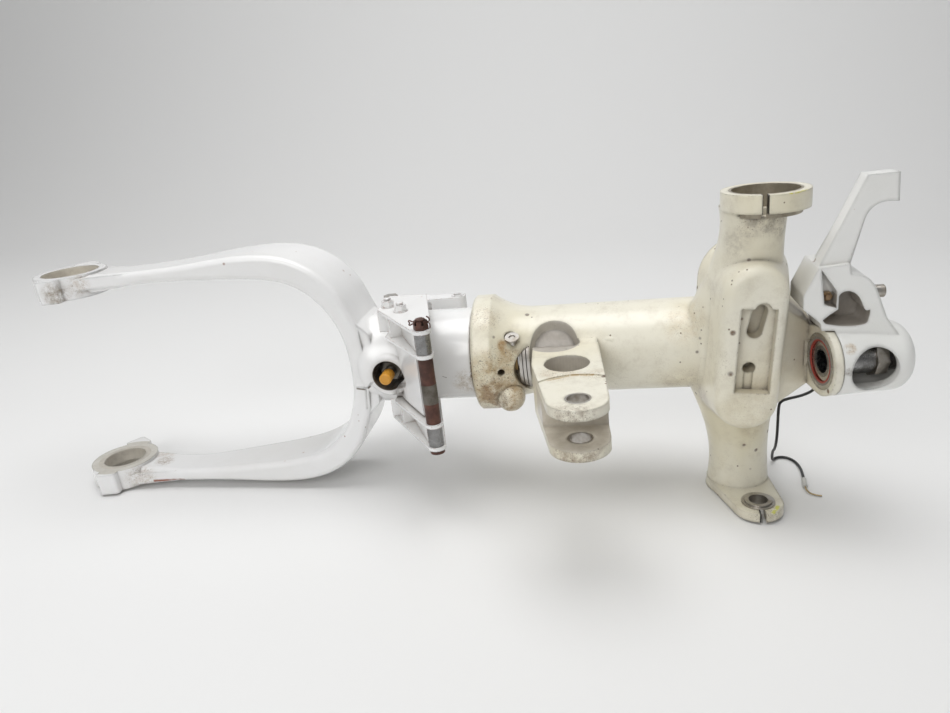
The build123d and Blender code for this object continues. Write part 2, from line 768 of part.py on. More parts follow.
def link_bracket(side):
    top = flange_z[1] + flange_thick / 2
    low = flange_z[0] - flange_thick / 2
    with BuildPart() as bracket:
        with BuildSketch(Plane.XY.offset(side * top)):
            with Locations(pin_xy):
                Circle(ear_ring_r)
            with BuildLine():
                Polyline((-326, -24), (-326, 20), (-290, 20), (-287, -28), (-309, -46), (-326, -24))
            make_face()
            make_hull()
        extrude(amount=-side * flange_thick)
        with BuildSketch(Plane.XY.offset(side * low)):
            with Locations(pin_xy):
                Circle(ear_ring_r)
            with BuildLine():
                Polyline((-318, -22), (-318, -38), (-311, -47), (-292, -22), (-318, -22))
            make_face()
            make_hull()
        extrude(amount=side * flange_thick)
        # rib from the hub to the pin eyes, and a short cross rib
        with BuildSketch(Plane.XY.offset(side * low)):
            with BuildLine():
                Polyline((-309, -24), (-279, -84), (-275, -82), (-303, -22), (-309, -24))
            make_face()
            with BuildLine():
                Polyline((-314, -38), (-298, -34), (-297, -37), (-311, -44), (-314, -38))
            make_face()
        extrude(amount=side * (top - low))
        # saddle on the hub
        with BuildSketch(Plane.XY.offset(side * 24)):
            with BuildLine():
                Polyline((-326, -26), (-326, 18), (-292, 18), (-292, -26), (-326, -26))
            make_face()
        extrude(amount=side * (top - 24 - flange_thick / 2))
        with BuildSketch(Plane.XY.offset(side * 20)):
            with Locations(pin_xy):
                Circle(pin_r + bush_gap)
            with Locations(saddle_bolts):
                Circle(bolt_r)
        extrude(amount=side * 50, mode=Mode.SUBTRACT)
        # keep the gap between the flanges open at the pin
        with BuildSketch(Plane.XY.offset(side * (low + flange_thick))):
            with Locations(pin_xy):
                Circle(ear_ring_r + 1.5)
        extrude(amount=side * (top - low - 2 * flange_thick), mode=Mode.SUBTRACT)
        add(fork.part, mode=Mode.SUBTRACT)
    return bracket.part.solids().sort_by(SortBy.VOLUME)[-1]


with BuildPart() as upper_link_bracket:
    add(link_bracket(1))
upper_link_bracket.part.label = "upper_link_bracket"

with BuildPart() as lower_link_bracket:
    add(link_bracket(-1))
lower_link_bracket.part.label = "lower_link_bracket"

# saddle bolts with slotted nuts, four in one node
bracket_top = flange_z[1] + flange_thick / 2
with BuildPart() as bracket_bolts:
    for side in (1, -1):
        for spot in saddle_bolts:
            with BuildSketch(Plane.XY.offset(side * 28)):
                with Locations(spot):
                    Circle(bolt_r)
            extrude(amount=side * (bracket_top - 28 + 8))
            with BuildSketch(Plane.XY.offset(side * bracket_top)):
                with Locations(spot):
                    Circle(6.4)
            extrude(amount=side * 1)
            with BuildSketch(Plane.XY.offset(side * (bracket_top + 1))):
                with Locations(spot):
                    RegularPolygon(5.6, 6)
            extrude(amount=side * 5)
bracket_bolts.part.label = "bracket_bolts"

# link pin with head below, slotted nut and cotter above
pin_head_z = -bracket_top - face_gap
nut_z = bracket_top + face_gap
with BuildPart() as link_pin:
    add(post(pin_xy, pin_head_z - 3.5, nut_z + 8.5, pin_r))
    add(post(pin_xy, pin_head_z - 3.5, pin_head_z, 6.3))
    with Locations((pin_xy[0], pin_xy[1], nut_z + 5.5)):
        with Locations(Rotation(0, 90, 0)):
            Cylinder(0.9, 20, mode=Mode.SUBTRACT)
link_pin.part.label = "link_pin"

with BuildPart() as link_pin_nut:
    with BuildSketch(Plane.XY.offset(nut_z)):
        with Locations(pin_xy):
            RegularPolygon(6.4, 6)
            Circle(pin_r, mode=Mode.SUBTRACT)
    extrude(amount=7)
    for turn in (0, 60, 120):
        with Locations(Location((pin_xy[0], pin_xy[1], nut_z + 5.5), (0, 0, turn))):
            Box(20, 1.9, 3.2, mode=Mode.SUBTRACT)
link_pin_nut.part.label = "link_pin_nut"

with BuildPart() as cotter_pin:
    with Locations((pin_xy[0], pin_xy[1], nut_z + 5.5)):
        with Locations(Rotation(0, 90, 0)):
            Cylinder(0.85, 15)
    with Locations((pin_xy[0] - 8, pin_xy[1], nut_z + 5.5)):
        with Locations(Rotation(90, 0, 0)):
            Cylinder(1.6, 1.7)
cotter_pin.part.label = "cotter_pin"

inner_face = flange_z[0] - flange_thick / 2 - face_gap
outer_from = flange_z[0] + flange_thick / 2 + face_gap
outer_to = flange_z[1] - flange_thick / 2 - face_gap
with BuildPart() as outer_spacers:
    for side in (1, -1):
        with BuildSketch(Plane.XY.offset(side * outer_from)):
            with Locations(pin_xy):
                Circle(spacer_r)
                Circle(pin_r, mode=Mode.SUBTRACT)
        extrude(amount=side * (outer_to - outer_from))
outer_spacers.part.label = "outer_spacers"

centre_mid = -2.5
with BuildPart() as rusty_sleeves:
    add(post(pin_xy, centre_mid + centre_spacer / 2, inner_face, spacer_r - 0.2, pin_r))
    add(post(pin_xy, -inner_face, centre_mid - centre_spacer / 2, spacer_r - 0.2, pin_r))
rusty_sleeves.part.label = "rusty_sleeves"

with BuildPart() as centre_sleeve:
    add(post(pin_xy, centre_mid - centre_spacer / 2, centre_mid + centre_spacer / 2, spacer_r, pin_r))
centre_sleeve.part.label = "centre_sleeve"

# lower torque link: two flanges and a web, on a pin through the rear lugs
with BuildPart() as torque_link:
    for side in (1, -1):
        with BuildSketch(Plane.XY.offset(side * link_half)):
            with Locations(link_root):
                Circle(link_eye_r)
            with Locations(link_tip):
                Circle(link_tip_r)
            make_hull()
        extrude(amount=-side * link_flange)
        with BuildSketch(Plane.XZ.offset(-link_root[1])):
            with Locations((link_pocket[0], side * link_pocket[1])):
                RectangleRounded(link_pocket[2], link_pocket[3], 2)
        extrude(amount=30, mode=Mode.SUBTRACT)
    web_from = link_root[0] + link_eye_r + 14
    web_to = link_tip[0] - link_tip_r - 1
    with BuildSketch(Plane.XY.offset(-link_half)):
        with Locations(((web_from + web_to) / 2, (link_root[1] + link_tip[1]) / 2 + 3)):
            Rectangle(web_to - web_from, 5)
    extrude(amount=2 * link_half)
    for spot, radius in ((link_root, link_pin_r + bush_gap), (link_tip, link_tip_r - 2.5)):
        with BuildSketch(Plane.XY.offset(-link_half)):
            with Locations(spot):
                Circle(radius)
        extrude(amount=2 * link_half, mode=Mode.SUBTRACT)
torque_link.part.label = "torque_link"

with BuildPart() as torque_link_bushes:
    for side in (1, -1):
        with BuildSketch(Plane.XY.offset(side * (link_half - link_flange))):
            with Locations(link_tip):
                Circle(link_tip_r - 2.5)
                Circle(link_tip_r - 4.5, mode=Mode.SUBTRACT)
        extrude(amount=side * (link_flange + 0.8))
torque_link_bushes.part.label = "torque_link_bushes"

with BuildPart() as torque_link_pin:
    add(post(link_root, -link_half - 1, link_half + 1, link_pin_r))
    for side in (1, -1):
        with BuildSketch(Plane.XY.offset(side * (link_half + side_gap))):
            with Locations(link_root):
                RegularPolygon(7.5, 6)
        extrude(amount=side * 5)
torque_link_pin.part.label = "torque_link_pin"

# steering bellcrank: hollow barrel on the ear axis, shouldered body and a long hooked arm
with BuildPart() as steering_bellcrank:
    add(ear_ring(barrel_from, barrel_from + barrel_len, barrel_r))
    fillet(steering_bellcrank.edges().filter_by(GeomType.CIRCLE).sort_by(Axis.X)[-1], barrel_round)
    with BuildSketch(Plane.XZ.offset(-crank_front_y)):
        with BuildLine():
            Polyline((33, 38), (25, 45), (25, 56), (35, 77), (57, 79), (58, 71))
            Spline((58, 71), (67, 69), (77, 57), tangents=((1, -0.1), (0.4, -1)))
            Line((77, 57), (85, 36))
            Spline((85, 36), (91, 27), (98, 16), tangents=((0.5, -1), (0.6, -1)))
            Polyline((98, 16), (96, -4), (45, -4), (38, 33), (33, 38))
        make_face()
    extrude(amount=crank_front_y - crank_back_y)
    with BuildSketch(Plane.XZ.offset(-arm_front_y)):
        with BuildLine():
            Polyline((34, 70), (36, 76), (66.5, 142.5), (88, 143), (89, 122), (82, 122.5))
            Spline((82, 122.5), (73, 120), (67, 112), tangents=((-1, 0), (-0.35, -1)))
            Polyline((67, 112), (56.5, 77), (53, 68), (34, 70))
        make_face()
    extrude(amount=arm_front_y - arm_back_y)
    # the arm's far side slants back to the left
    with BuildSketch(Plane.XY.offset(50)):
        Polygon((34, arm_front_y + 0.5), (27, -29), (52, -29), (52, arm_front_y + 0.5), align=None)
    with BuildSketch(Plane.XY.offset(141)):
        tip_front_y = arm_front_y + 0.5
        Polygon((66.3, tip_front_y), (68, arm_back_y), (74, arm_back_y), (74, tip_front_y), align=None)
    loft()
    # boss that seats the stub pin
    with BuildSketch(Plane.YZ.offset(stub_seat_x - 10)):
        with Locations(stub_yz):
            Circle(stub_r + 2)
    extrude(amount=10)
    with BuildSketch(Plane.YZ.offset(stub_seat_x)):
        with Locations(stub_yz):
            Circle(stub_r + 2)
    extrude(amount=stub_len, mode=Mode.SUBTRACT)
    # room round the ear and over its web
    add(ear_ring(-60, barrel_from, ear_r + crank_room), mode=Mode.SUBTRACT)
    with BuildSketch(ear_plane.offset(-60)):
        Polygon((0, ear_r + crank_room), (26, 26), (42, 34), (58, 48), (58, -40), (0, -ear_r), align=None)
    extrude(amount=60 + barrel_from, mode=Mode.SUBTRACT)
    # shaft bore and hollow of the barrel
    add(ear_ring(0, barrel_from + barrel_len - barrel_wall, race_bore_r), mode=Mode.SUBTRACT)
    add(
        ear_ring(barrel_from + barrel_wall, barrel_from + barrel_len - barrel_wall, barrel_bore_r),
        mode=Mode.SUBTRACT,
    )
    # round side window of the barrel
    with BuildSketch(Plane.XZ.offset(110)):
        with Locations(barrel_window_xz):
            Circle(barrel_window_r)
    extrude(amount=-58, mode=Mode.SUBTRACT)
    # foot-shaped window in the shoulder and the recess of the bolt beside it
    with BuildSketch(Plane.XZ.offset(110)):
        with BuildLine():
            Polyline((39.5, 36), (45, 40.5), (50, 44), (50, 54))
            Spline((50, 54), (55, 58), (65, 52), (70.5, 42), (72, 33), tangents=((0.3, 1), (-0.2, -1)))
            Spline((72, 33), (68, 30.5), (44, 32), (39.5, 36), tangents=((-0.3, -1), (-0.3, 1)))
        make_face()
    extrude(amount=-74, mode=Mode.SUBTRACT)
    with BuildSketch(Plane.XZ.offset(110)):
        Polygon((36.5, 76), (48.8, 58), (48.8, 45), (40, 48), align=None)
    extrude(amount=-57, mode=Mode.SUBTRACT)
steering_bellcrank.part.label = "steering_bellcrank"

crank_bolt_xz = (44.4, 52)
crank_bolt_y = 53.0
with BuildPart() as crank_bolt:
    with BuildSketch(Plane.XZ.offset(crank_bolt_y)):
        with Locations(crank_bolt_xz):
            RegularPolygon(4, 6)
    extrude(amount=4)
    with BuildSketch(Plane.XZ.offset(crank_bolt_y + 4)):
        with Locations(crank_bolt_xz):
            Circle(2.2)
    extrude(amount=3)
crank_bolt.part.label = "crank_bolt"

with BuildPart() as stub_pin:
    with BuildSketch(Plane.YZ.offset(stub_seat_x)):
        with Locations(stub_yz):
            Circle(stub_r)
    extrude(amount=stub_len)
    chamfer(stub_pin.edges().sort_by(Axis.X)[-1], 0.8)
stub_pin.part.label = "stub_pin"

with BuildPart() as pivot_shaft:
    add(ear_ring(1.5, barrel_from + barrel_len - barrel_wall, race_bore_r, race_bore_r - shaft_wall))
pivot_shaft.part.label = "pivot_shaft"

shaft_nut_from = barrel_from + barrel_wall + 25
with BuildPart() as shaft_nut:
    with BuildSketch(ear_plane.offset(shaft_nut_from)):
        RegularPolygon(16, 8)
        Circle(race_bore_r, mode=Mode.SUBTRACT)
    extrude(amount=9)
shaft_nut.part.label = "shaft_nut"

# the gear lies on its side: trunnion lug and fork plate rest on the ground, so it leans a little
lowest_trunnion = (arm_low_xy[0] - arm_r + 1, lug_face_z - lug_thick)
lowest_fork = (axle_x - plate_r, -plate_out_z)
rest_tilt = atan2(lowest_fork[1] - lowest_trunnion[1], lowest_trunnion[0] - lowest_fork[0])
floor_drop = lowest_trunnion[0] * sin(rest_tilt) + lowest_trunnion[1] * cos(rest_tilt)

# wire: from its gland on the housing end, down behind the ear and along the ground
gland_len = 4.0
wire_start = Vector(tube_end_x + gland_len, 14, -20)
hanging = [
    wire_start,
    wire_start + Vector(12, 0, 0),
    Vector(55, 10, -28),
    Vector(58, 4, -40),
    Vector(49, 0, -50),
    Vector(35, -1, -55),
    Vector(24, 2, -66),
    Vector(20, 5, -83),
    Vector(21, 11, -101),
    Vector(22, 22, -117),
    Vector(26, 36, -130),
]
lying = [(31, 47), (37, 54.5), (45.5, 55.5), (52, 49), (54.5, 38), (54, 24), (52, 10)]


def on_ground(x, y, height):
    return Vector(x, y, (floor_drop + height - x * sin(rest_tilt)) / cos(rest_tilt))


wire_lift = wire_r + floor_gap
sleeve_lift = sleeve_r + floor_gap
route = hanging + [on_ground(x, y, wire_lift) for x, y in lying[:-2]]
route += [on_ground(*lying[-2], sleeve_lift), on_ground(*lying[-1], sleeve_lift)]


# Radius of each bend of a route: as large as its two runs allow.
def bend_radii(points):
    radii = []
    for before, here, after in zip(points, points[1:], points[2:]):
        turn = radians((here - before).get_angle(after - here))
        run = min((here - before).length, (after - here).length)
        radii.append(0.45 * run / tan(turn / 2))
    return radii


wire_bends = bend_radii(route)
print("wire bend radii", [round(bend, 1) for bend in wire_bends])
with BuildPart() as sensor_wire:
    with BuildLine() as wire_line:
        FilletPolyline(*route, radius=wire_bends)
    wire_length = sum(edge.length for edge in wire_line.edges())
    with BuildSketch(Plane(origin=route[0], z_dir=route[1] - route[0])):
        Circle(wire_r)
    sweep()
sensor_wire.part.label = "sensor_wire"
print("wire volume over section times length",
      round(sensor_wire.part.volume / (pi * wire_r**2 * wire_length), 4))

with BuildPart() as wire_gland:
    with BuildSketch(Plane.YZ.offset(tube_end_x)):
        with Locations((wire_start.Y, wire_start.Z)):
            Circle(5)
    extrude(amount=gland_len)
wire_gland.part.label = "wire_gland"

sleeve_plane = Plane(origin=route[-1], z_dir=route[-1] - route[-2])
with BuildPart() as wire_sleeve:
    with BuildSketch(sleeve_plane):
        Circle(sleeve_r)
    extrude(amount=sleeve_len)
wire_sleeve.part.label = "wire_sleeve"

tip_start = sleeve_plane.offset(sleeve_len).origin
tip_route = [
    tip_start,
    tip_start + sleeve_plane.z_dir * 7,
    on_ground(tip_start.X + 4, tip_start.Y - 12, tip_r + floor_gap),
    on_ground(tip_start.X + 11, tip_start.Y - 13, tip_r + floor_gap),
]
with BuildPart() as wire_tip:
    with BuildLine():
        FilletPolyline(*tip_route, radius=bend_radii(tip_route))
    with BuildSketch(sleeve_plane.offset(sleeve_len)):
        Circle(tip_r)
    sweep()
wire_tip.part.label = "wire_tip"

housing_pieces = [
    main_housing, lower_bearing, upper_bearing, dust_wiper, locking_rings, grease_plug,
    upper_trunnion_liner, lower_trunnion_bush, lower_trunnion_washers, brace_bushes, end_plug,
    ear_outer_race, ear_seal, ear_balls, wire_gland,
]
swivel_pieces = [inner_cylinder, piston_gland, metering_tube]
fork_pieces = [
    fork, piston_tube, piston_head, hub_bolt, hub_nut, hub_cap, upper_link_bracket,
    lower_link_bracket, bracket_bolts, torque_link_pin,
]
pin_pieces = [link_pin, link_pin_nut, cotter_pin, outer_spacers, rusty_sleeves, centre_sleeve]
link_pieces = [torque_link, torque_link_bushes]
crank_pieces = [steering_bellcrank, crank_bolt, stub_pin, pivot_shaft, shaft_nut, ear_inner_race]
wire_pieces = [sensor_wire, wire_sleeve, wire_tip]
solid_pieces = housing_pieces + swivel_pieces + fork_pieces + pin_pieces + link_pieces + crank_pieces

# lay the gear down: tip it on its resting points, then put the origin under its middle
lean_back = Location((0, 0, 0), (0, -degrees(rest_tilt), 0))
boxes = [piece.part.moved(lean_back).bounding_box() for piece in solid_pieces]
low = Vector(min(b.min.X for b in boxes), min(b.min.Y for b in boxes), min(b.min.Z for b in boxes))
high = Vector(max(b.max.X for b in boxes), max(b.max.Y for b in boxes), max(b.max.Z for b in boxes))
rest = Location((-(low.X + high.X) / 2, -(low.Y + high.Y) / 2, -low.Z)) * lean_back
print("size", [round(v, 2) for v in tuple(high - low)])
print("rest tilt deg", degrees(rest_tilt), "origin of the gear axes", rest.position)

for piece in solid_pieces + wire_pieces:
    label = piece.part.label
    placed = piece.part.moved(rest)
    placed.label = label
    export_step(placed, "parts/" + label + ".step")
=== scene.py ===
# Nose landing gear lying on its side: paint and metal finishes, wire, small hardware, floor and light
import json
from math import cos, pi, radians, sin

import bpy
from mathutils import Matrix, Quaternion, Vector


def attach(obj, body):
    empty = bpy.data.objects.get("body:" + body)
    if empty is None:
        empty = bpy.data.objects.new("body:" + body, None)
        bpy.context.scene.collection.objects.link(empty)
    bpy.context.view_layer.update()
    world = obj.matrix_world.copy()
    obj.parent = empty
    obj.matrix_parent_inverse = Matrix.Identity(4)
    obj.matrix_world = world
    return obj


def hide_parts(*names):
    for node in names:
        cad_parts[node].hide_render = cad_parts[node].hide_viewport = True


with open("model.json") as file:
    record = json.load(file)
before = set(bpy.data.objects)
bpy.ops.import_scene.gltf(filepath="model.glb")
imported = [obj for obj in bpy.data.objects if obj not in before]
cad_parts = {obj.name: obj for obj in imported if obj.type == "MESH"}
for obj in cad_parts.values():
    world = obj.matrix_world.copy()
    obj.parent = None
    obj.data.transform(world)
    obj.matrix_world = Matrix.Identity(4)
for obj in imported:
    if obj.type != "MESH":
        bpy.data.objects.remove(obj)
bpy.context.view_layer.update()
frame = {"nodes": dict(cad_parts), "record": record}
nodes = frame["nodes"]
joints = {joint["name"]: joint for joint in frame["record"]["behaviour"]["joints"]}
print("frame loaded,", len(nodes), "nodes")

# The gear's own axes, in millimetres: X up the strut, Y away from the viewer, Z across it.
swivelX = -120
strutAxis = Vector(joints["steering_swivel"]["axis"])
acrossAxis = Vector(joints["link_pin_spin"]["axis"])
gearOrigin = Vector(joints["steering_swivel"]["pos_m"]) - strutAxis * swivelX / 1000
crankAxis = Vector(joints["bellcrank_swing"]["axis"])
crankOrigin = Vector(joints["bellcrank_swing"]["pos_m"])


def gearPoint(x, y, z):
    return gearOrigin + (strutAxis * x + Vector((0, y, 0)) + acrossAxis * z) / 1000


def groundPoint(x, y, height):
    # the point over gear x and y that stands this many millimetres above the floor
    z = (height / 1000 - gearOrigin.z - strutAxis.z * x / 1000) / acrossAxis.z * 1000
    return gearPoint(x, y, z)


def addObject(name, data):
    item = bpy.data.objects.new(name, data)
    bpy.context.scene.collection.objects.link(item)
    return item


def aimed(place, aim, roll=0.0):
    # how a camera or lamp stands that looks from one place at another
    look = (Vector(aim) - Vector(place)).to_track_quat("-Z", "Y")
    turn = look @ Quaternion((0, 0, 1), radians(roll))
    return Matrix.Translation(place) @ turn.to_matrix().to_4x4()


# camera, from the photograph's perspective: places in metres, lens and sensor in millimetres
cameraSet = {
    "place": (0.1384, -0.5865, 0.3690),
    "aim": (0.0291, 0.0510, 0.1287),
    "roll": -3.04,
    "lens": 28.04,
    "sensor": 36,
    "nearest": 0.01,
}


def makeCamera():
    data = bpy.data.cameras.new("camera")
    data.lens = cameraSet["lens"]
    data.sensor_width = cameraSet["sensor"]
    data.clip_start = cameraSet["nearest"]
    camera = addObject("camera", data)
    camera.matrix_world = aimed(cameraSet["place"], cameraSet["aim"], cameraSet["roll"])
    bpy.context.scene.camera = camera


makeCamera()
print("camera set")


# short ways to write shader nodes
def addNode(tree, kind, sockets=None, **settings):
    node = tree.nodes.new(kind)
    for key, value in settings.items():
        setattr(node, key, value)
    for socket, value in (sockets or {}).items():
        plug(tree, node.inputs[socket], value)
    return node


def plug(tree, target, value):
    if isinstance(value, bpy.types.NodeSocket):
        tree.links.new(value, target)
    else:
        target.default_value = value


def calc(tree, operation, first, second=0.0, clamp=False):
    node = addNode(tree, "ShaderNodeMath", {0: first, 1: second}, operation=operation, use_clamp=clamp)
    return node.outputs[0]


def times(tree, first, second, clamp=False):
    return calc(tree, "MULTIPLY", first, second, clamp)


def blendColour(tree, amount, first, second):
    first = first if isinstance(first, bpy.types.NodeSocket) else (*first, 1)
    second = second if isinstance(second, bpy.types.NodeSocket) else (*second, 1)
    node = addNode(tree, "ShaderNodeMix", {0: amount, 6: first, 7: second}, data_type="RGBA")
    return node.outputs[2]


def vectorMath(tree, operation, sockets, output=0):
    return addNode(tree, "ShaderNodeVectorMath", sockets, operation=operation).outputs[output]


def noise(tree, where, scale, detail=3.0, roughness=0.55):
    sockets = {"Vector": where, "Scale": scale, "Detail": detail, "Roughness": roughness}
    return addNode(tree, "ShaderNodeTexNoise", sockets).outputs["Fac"]


def band(tree, value, low, high, toLow=0.0, toHigh=1.0):
    sockets = {"Value": value, "From Min": low, "From Max": high, "To Min": toLow, "To Max": toHigh}
    return addNode(tree, "ShaderNodeMapRange", sockets, interpolation_type="SMOOTHSTEP").outputs[0]


def patterned(tree, where, pattern, scale=None, span=None):
    # noise with a named pattern's scale and softness, cut to the part between its two limits
    wave = noise(tree, where, scale or pattern["scale"], pattern["detail"], pattern["roughness"])
    low, high = span or pattern["span"]
    toLow, toHigh = pattern.get("to", (0.0, 1.0))
    return band(tree, wave, low, high, toLow, toHigh)


# Settings of the masks. A core is the share of its radius inside which a mask is full. Pits have a size
# within their cells, and the choice of cells has a softness. The edge span is how like the soft and the flat
# normal are where an edge begins and where it is full.
masks = {
    "lineCore": 0.4, "pitCore": 0.55, "placeCore": 0.35, "pitSize": 0.18, "choice": 0.02,
    "edgeSpan": (0.98, 0.78), "bevelSamples": 4, "cornerSamples": 6,
}


def gearAxes(tree, where):
    # the shaded point's X, Y and Z on the gear, in millimetres
    offset = vectorMath(tree, "SUBTRACT", {0: where, 1: gearOrigin})
    axes = {}
    for letter, axis in (("X", strutAxis), ("Y", Vector((0, 1, 0))), ("Z", acrossAxis)):
        along = vectorMath(tree, "DOT_PRODUCT", {0: offset, 1: axis}, "Value")
        axes[letter] = times(tree, along, 1000.0)
    return axes


def zoneMask(tree, axes, zone):
    # 1 in a round or oval zone about one of the gear's axes, between two places along it
    first, second = [letter for letter in "XYZ" if letter != zone["about"]]
    sideways = calc(tree, "SUBTRACT", axes[first], zone["centre"][0])
    upward = calc(tree, "SUBTRACT", axes[second], zone["centre"][1])
    upward = calc(tree, "DIVIDE", upward, zone["tall"])
    squares = [times(tree, side, side) for side in (sideways, upward)]
    reach = calc(tree, "SQRT", calc(tree, "ADD", *squares))
    soft = zone["soft"]
    inside = band(tree, reach, zone["radius"] + soft, zone["radius"] - soft)
    along = axes[zone["about"]]
    for limit, step in zip(zone["span"], (1, -1)):
        within = band(tree, along, limit - step * soft, limit + step * soft)
        inside = times(tree, inside, within)
    return inside


def besideAxis(tree, reach, axis):
    # how far a point lies beside an axis, from its reach off some place on that axis
    beside = vectorMath(tree, "CROSS_PRODUCT", {0: reach, 1: axis})
    return vectorMath(tree, "LENGTH", {0: beside}, "Value")


def lineMask(tree, where, line):
    # 1 on a thin, slightly wavering line between two places of the gear
    start, end = (gearPoint(*place) for place in line["ends"])
    length = (end - start).length
    along = (end - start) / length
    waver = addNode(tree, "ShaderNodeTexNoise", {"Vector": where, "Scale": line["waveScale"]})
    shift = vectorMath(tree, "SUBTRACT", {0: waver.outputs["Color"], 1: (0.5, 0.5, 0.5)})
    shift = vectorMath(tree, "SCALE", {0: shift, "Scale": line["wave"] / 1000})
    point = vectorMath(tree, "ADD", {0: where, 1: shift})
    reach = vectorMath(tree, "SUBTRACT", {0: point, 1: start})
    travel = vectorMath(tree, "DOT_PRODUCT", {0: reach, 1: along}, "Value")
    width = line["width"] / 1000
    mask = band(tree, besideAxis(tree, reach, along), width, width * masks["lineCore"])
    mask = times(tree, mask, band(tree, travel, 0.0, width))
    return times(tree, mask, band(tree, travel, length, length - width))


def pitMask(tree, where, scale, share):
    # small sharp spots, in a share of the cells
    cells = addNode(tree, "ShaderNodeTexVoronoi", {"Vector": where, "Scale": scale})
    chosen = addNode(tree, "ShaderNodeSeparateColor", {0: cells.outputs["Color"]}).outputs[0]
    size = masks["pitSize"]
    spot = band(tree, cells.outputs["Distance"], size, size * masks["pitCore"])
    return times(tree, spot, band(tree, chosen, 1 - share, 1 - share + masks["choice"]))


def nearPlace(tree, where, place, radius):
    # 1 at a place on the gear, 0 past its radius
    distance = vectorMath(tree, "DISTANCE", {0: where, 1: gearPoint(*place)}, "Value")
    return band(tree, distance, radius / 1000, radius * masks["placeCore"] / 1000)


def softNormal(tree, radius):
    # the surface's direction with its edges rounded off
    return addNode(tree, "ShaderNodeBevel", {"Radius": radius}, samples=masks["bevelSamples"]).outputs[0]


def edgeMask(tree, radius):
    # grows where the surface turns sharply
    rounded = softNormal(tree, radius)
    flat = addNode(tree, "ShaderNodeNewGeometry").outputs["Normal"]
    likeness = vectorMath(tree, "DOT_PRODUCT", {0: rounded, 1: flat}, "Value")
    return band(tree, likeness, *masks["edgeSpan"])


def cornerMask(tree, distance):
    # grows in hollows and corners, where the surroundings block light and shade falls
    samples = masks["cornerSamples"]
    shade = addNode(tree, "ShaderNodeAmbientOcclusion", {"Distance": distance}, samples=samples)
    return calc(tree, "SUBTRACT", 1.0, shade.outputs["AO"])


def finishNormal(tree, shader, height, strength, distance, radius):
    # soft edges and a relief this many metres deep
    sockets = {"Height": height, "Strength": strength, "Distance": distance,
               "Normal": softNormal(tree, radius)}
    plug(tree, shader.inputs["Normal"], addNode(tree, "ShaderNodeBump", sockets).outputs[0])


def startMaterial(name):
    material = bpy.data.materials.new(name)
    material.use_nodes = True
    tree = material.node_tree
    where = addNode(tree, "ShaderNodeTexCoord").outputs["Object"]
    return material, tree, tree.nodes["Principled BSDF"], where


# what all enamel shares: its noise patterns, limits and sizes, and what a mark has unless it says otherwise
patterns = {
    "cloud": {"detail": 4, "roughness": 0.55, "span": (0.35, 0.7)},
    "mottle": {"scale": 70, "detail": 6, "roughness": 0.7, "span": (0.45, 0.75)},
    "hollowGrimeAndShade": {"scale": 22, "detail": 4, "roughness": 0.6, "span": (0.3, 0.7), "to": (0.35, 1.0)},
    "grit": {"scale": 850, "detail": 3, "roughness": 0.7, "span": (0.57, 0.63)},
    "gritPatches": {"scale": 24, "detail": 4, "roughness": 0.6, "span": (0.48, 0.72)},
    "stain": {"detail": 6, "roughness": 0.7, "span": (0.34, 0.66)},
    "smear": {"scale": 120, "detail": 5, "roughness": 0.65, "span": (0.3, 0.6), "to": (0.3, 1.0)},
    "zone": {"detail": 6, "roughness": 0.65, "span": (0.3, 0.7)},
    "chips": {"scale": 330, "detail": 5, "roughness": 0.7},
    "chipRust": {"scale": 180, "detail": 3, "roughness": 0.55, "span": (0.4, 0.6)},
    "lineGaps": {"scale": 210, "detail": 3, "roughness": 0.6},
}
enamel = {
    "hollow": (0.12, 0.75), "corner": (0.3, 0.85), "cleaned": 0.85, "pitScales": (75, 190),
    "chipStep": 0.05, "gapStep": 0.06, "peelShare": 0.4, "castingScale": 45, "dull": 0.75,
    "coatRoughness": 0.24, "relief": 0.0004,
}
usual = {
    "stains": {"scale": 90, "grit": 0.7},
    "zones": {"scale": 110, "soft": 0.3, "tall": 1.0},
    "lines": {"wave": 1.5, "waveScale": 160, "solid": 0.5},
}


def fullMarks(look, kind):
    # a look's stains, zones or lines, each with all its values
    return [{**usual[kind], **mark} for mark in look.get(kind, ())]


def addStains(tree, where, look, colour, specks, grit):
    for stain in fullMarks(look, "stains"):
        here = nearPlace(tree, where, stain["at"], stain["radius"])
        ragged = patterned(tree, where, patterns["stain"], stain["scale"])
        amount = times(tree, times(tree, here, ragged), stain["amount"], clamp=True)
        colour = blendColour(tree, amount, colour, stain["colour"])
        dotted = times(tree, times(tree, here, grit), stain["grit"])
        specks = calc(tree, "MAXIMUM", specks, dotted)
    return colour, specks


def addZones(tree, where, look, colour):
    axes = gearAxes(tree, where)
    for zone in fullMarks(look, "zones"):
        uneven = patterned(tree, where, patterns["zone"], zone["scale"])
        finish = blendColour(tree, uneven, *zone["colours"])
        colour = blendColour(tree, zoneMask(tree, axes, zone), colour, finish)
    return colour


def addLines(tree, where, look, colour, height):
    # a line is whole where its solid value is 0.5, and broken up more the less it is
    for line in fullMarks(look, "lines"):
        mask = lineMask(tree, where, line)
        gapFrom = 0.5 - line["solid"]
        gapSpan = (gapFrom, gapFrom + enamel["gapStep"])
        gaps = patterned(tree, where, patterns["lineGaps"], span=gapSpan)
        if "colour" in line:
            colour = blendColour(tree, times(tree, mask, gaps), colour, line["colour"])
        if "height" in line:
            height = calc(tree, "ADD", height, times(tree, mask, line["height"]))
    return colour, height


def softRadius(tree, where, look):
    # castings run into each other in wide soft hollows at some places, and a cut step stays crisp
    radius = look["round"]
    for place in look.get("hollows", ()):
        here = nearPlace(tree, where, place["at"], place["radius"])
        change = times(tree, here, calc(tree, "SUBTRACT", place["round"], radius))
        radius = calc(tree, "ADD", radius, change)
    return radius


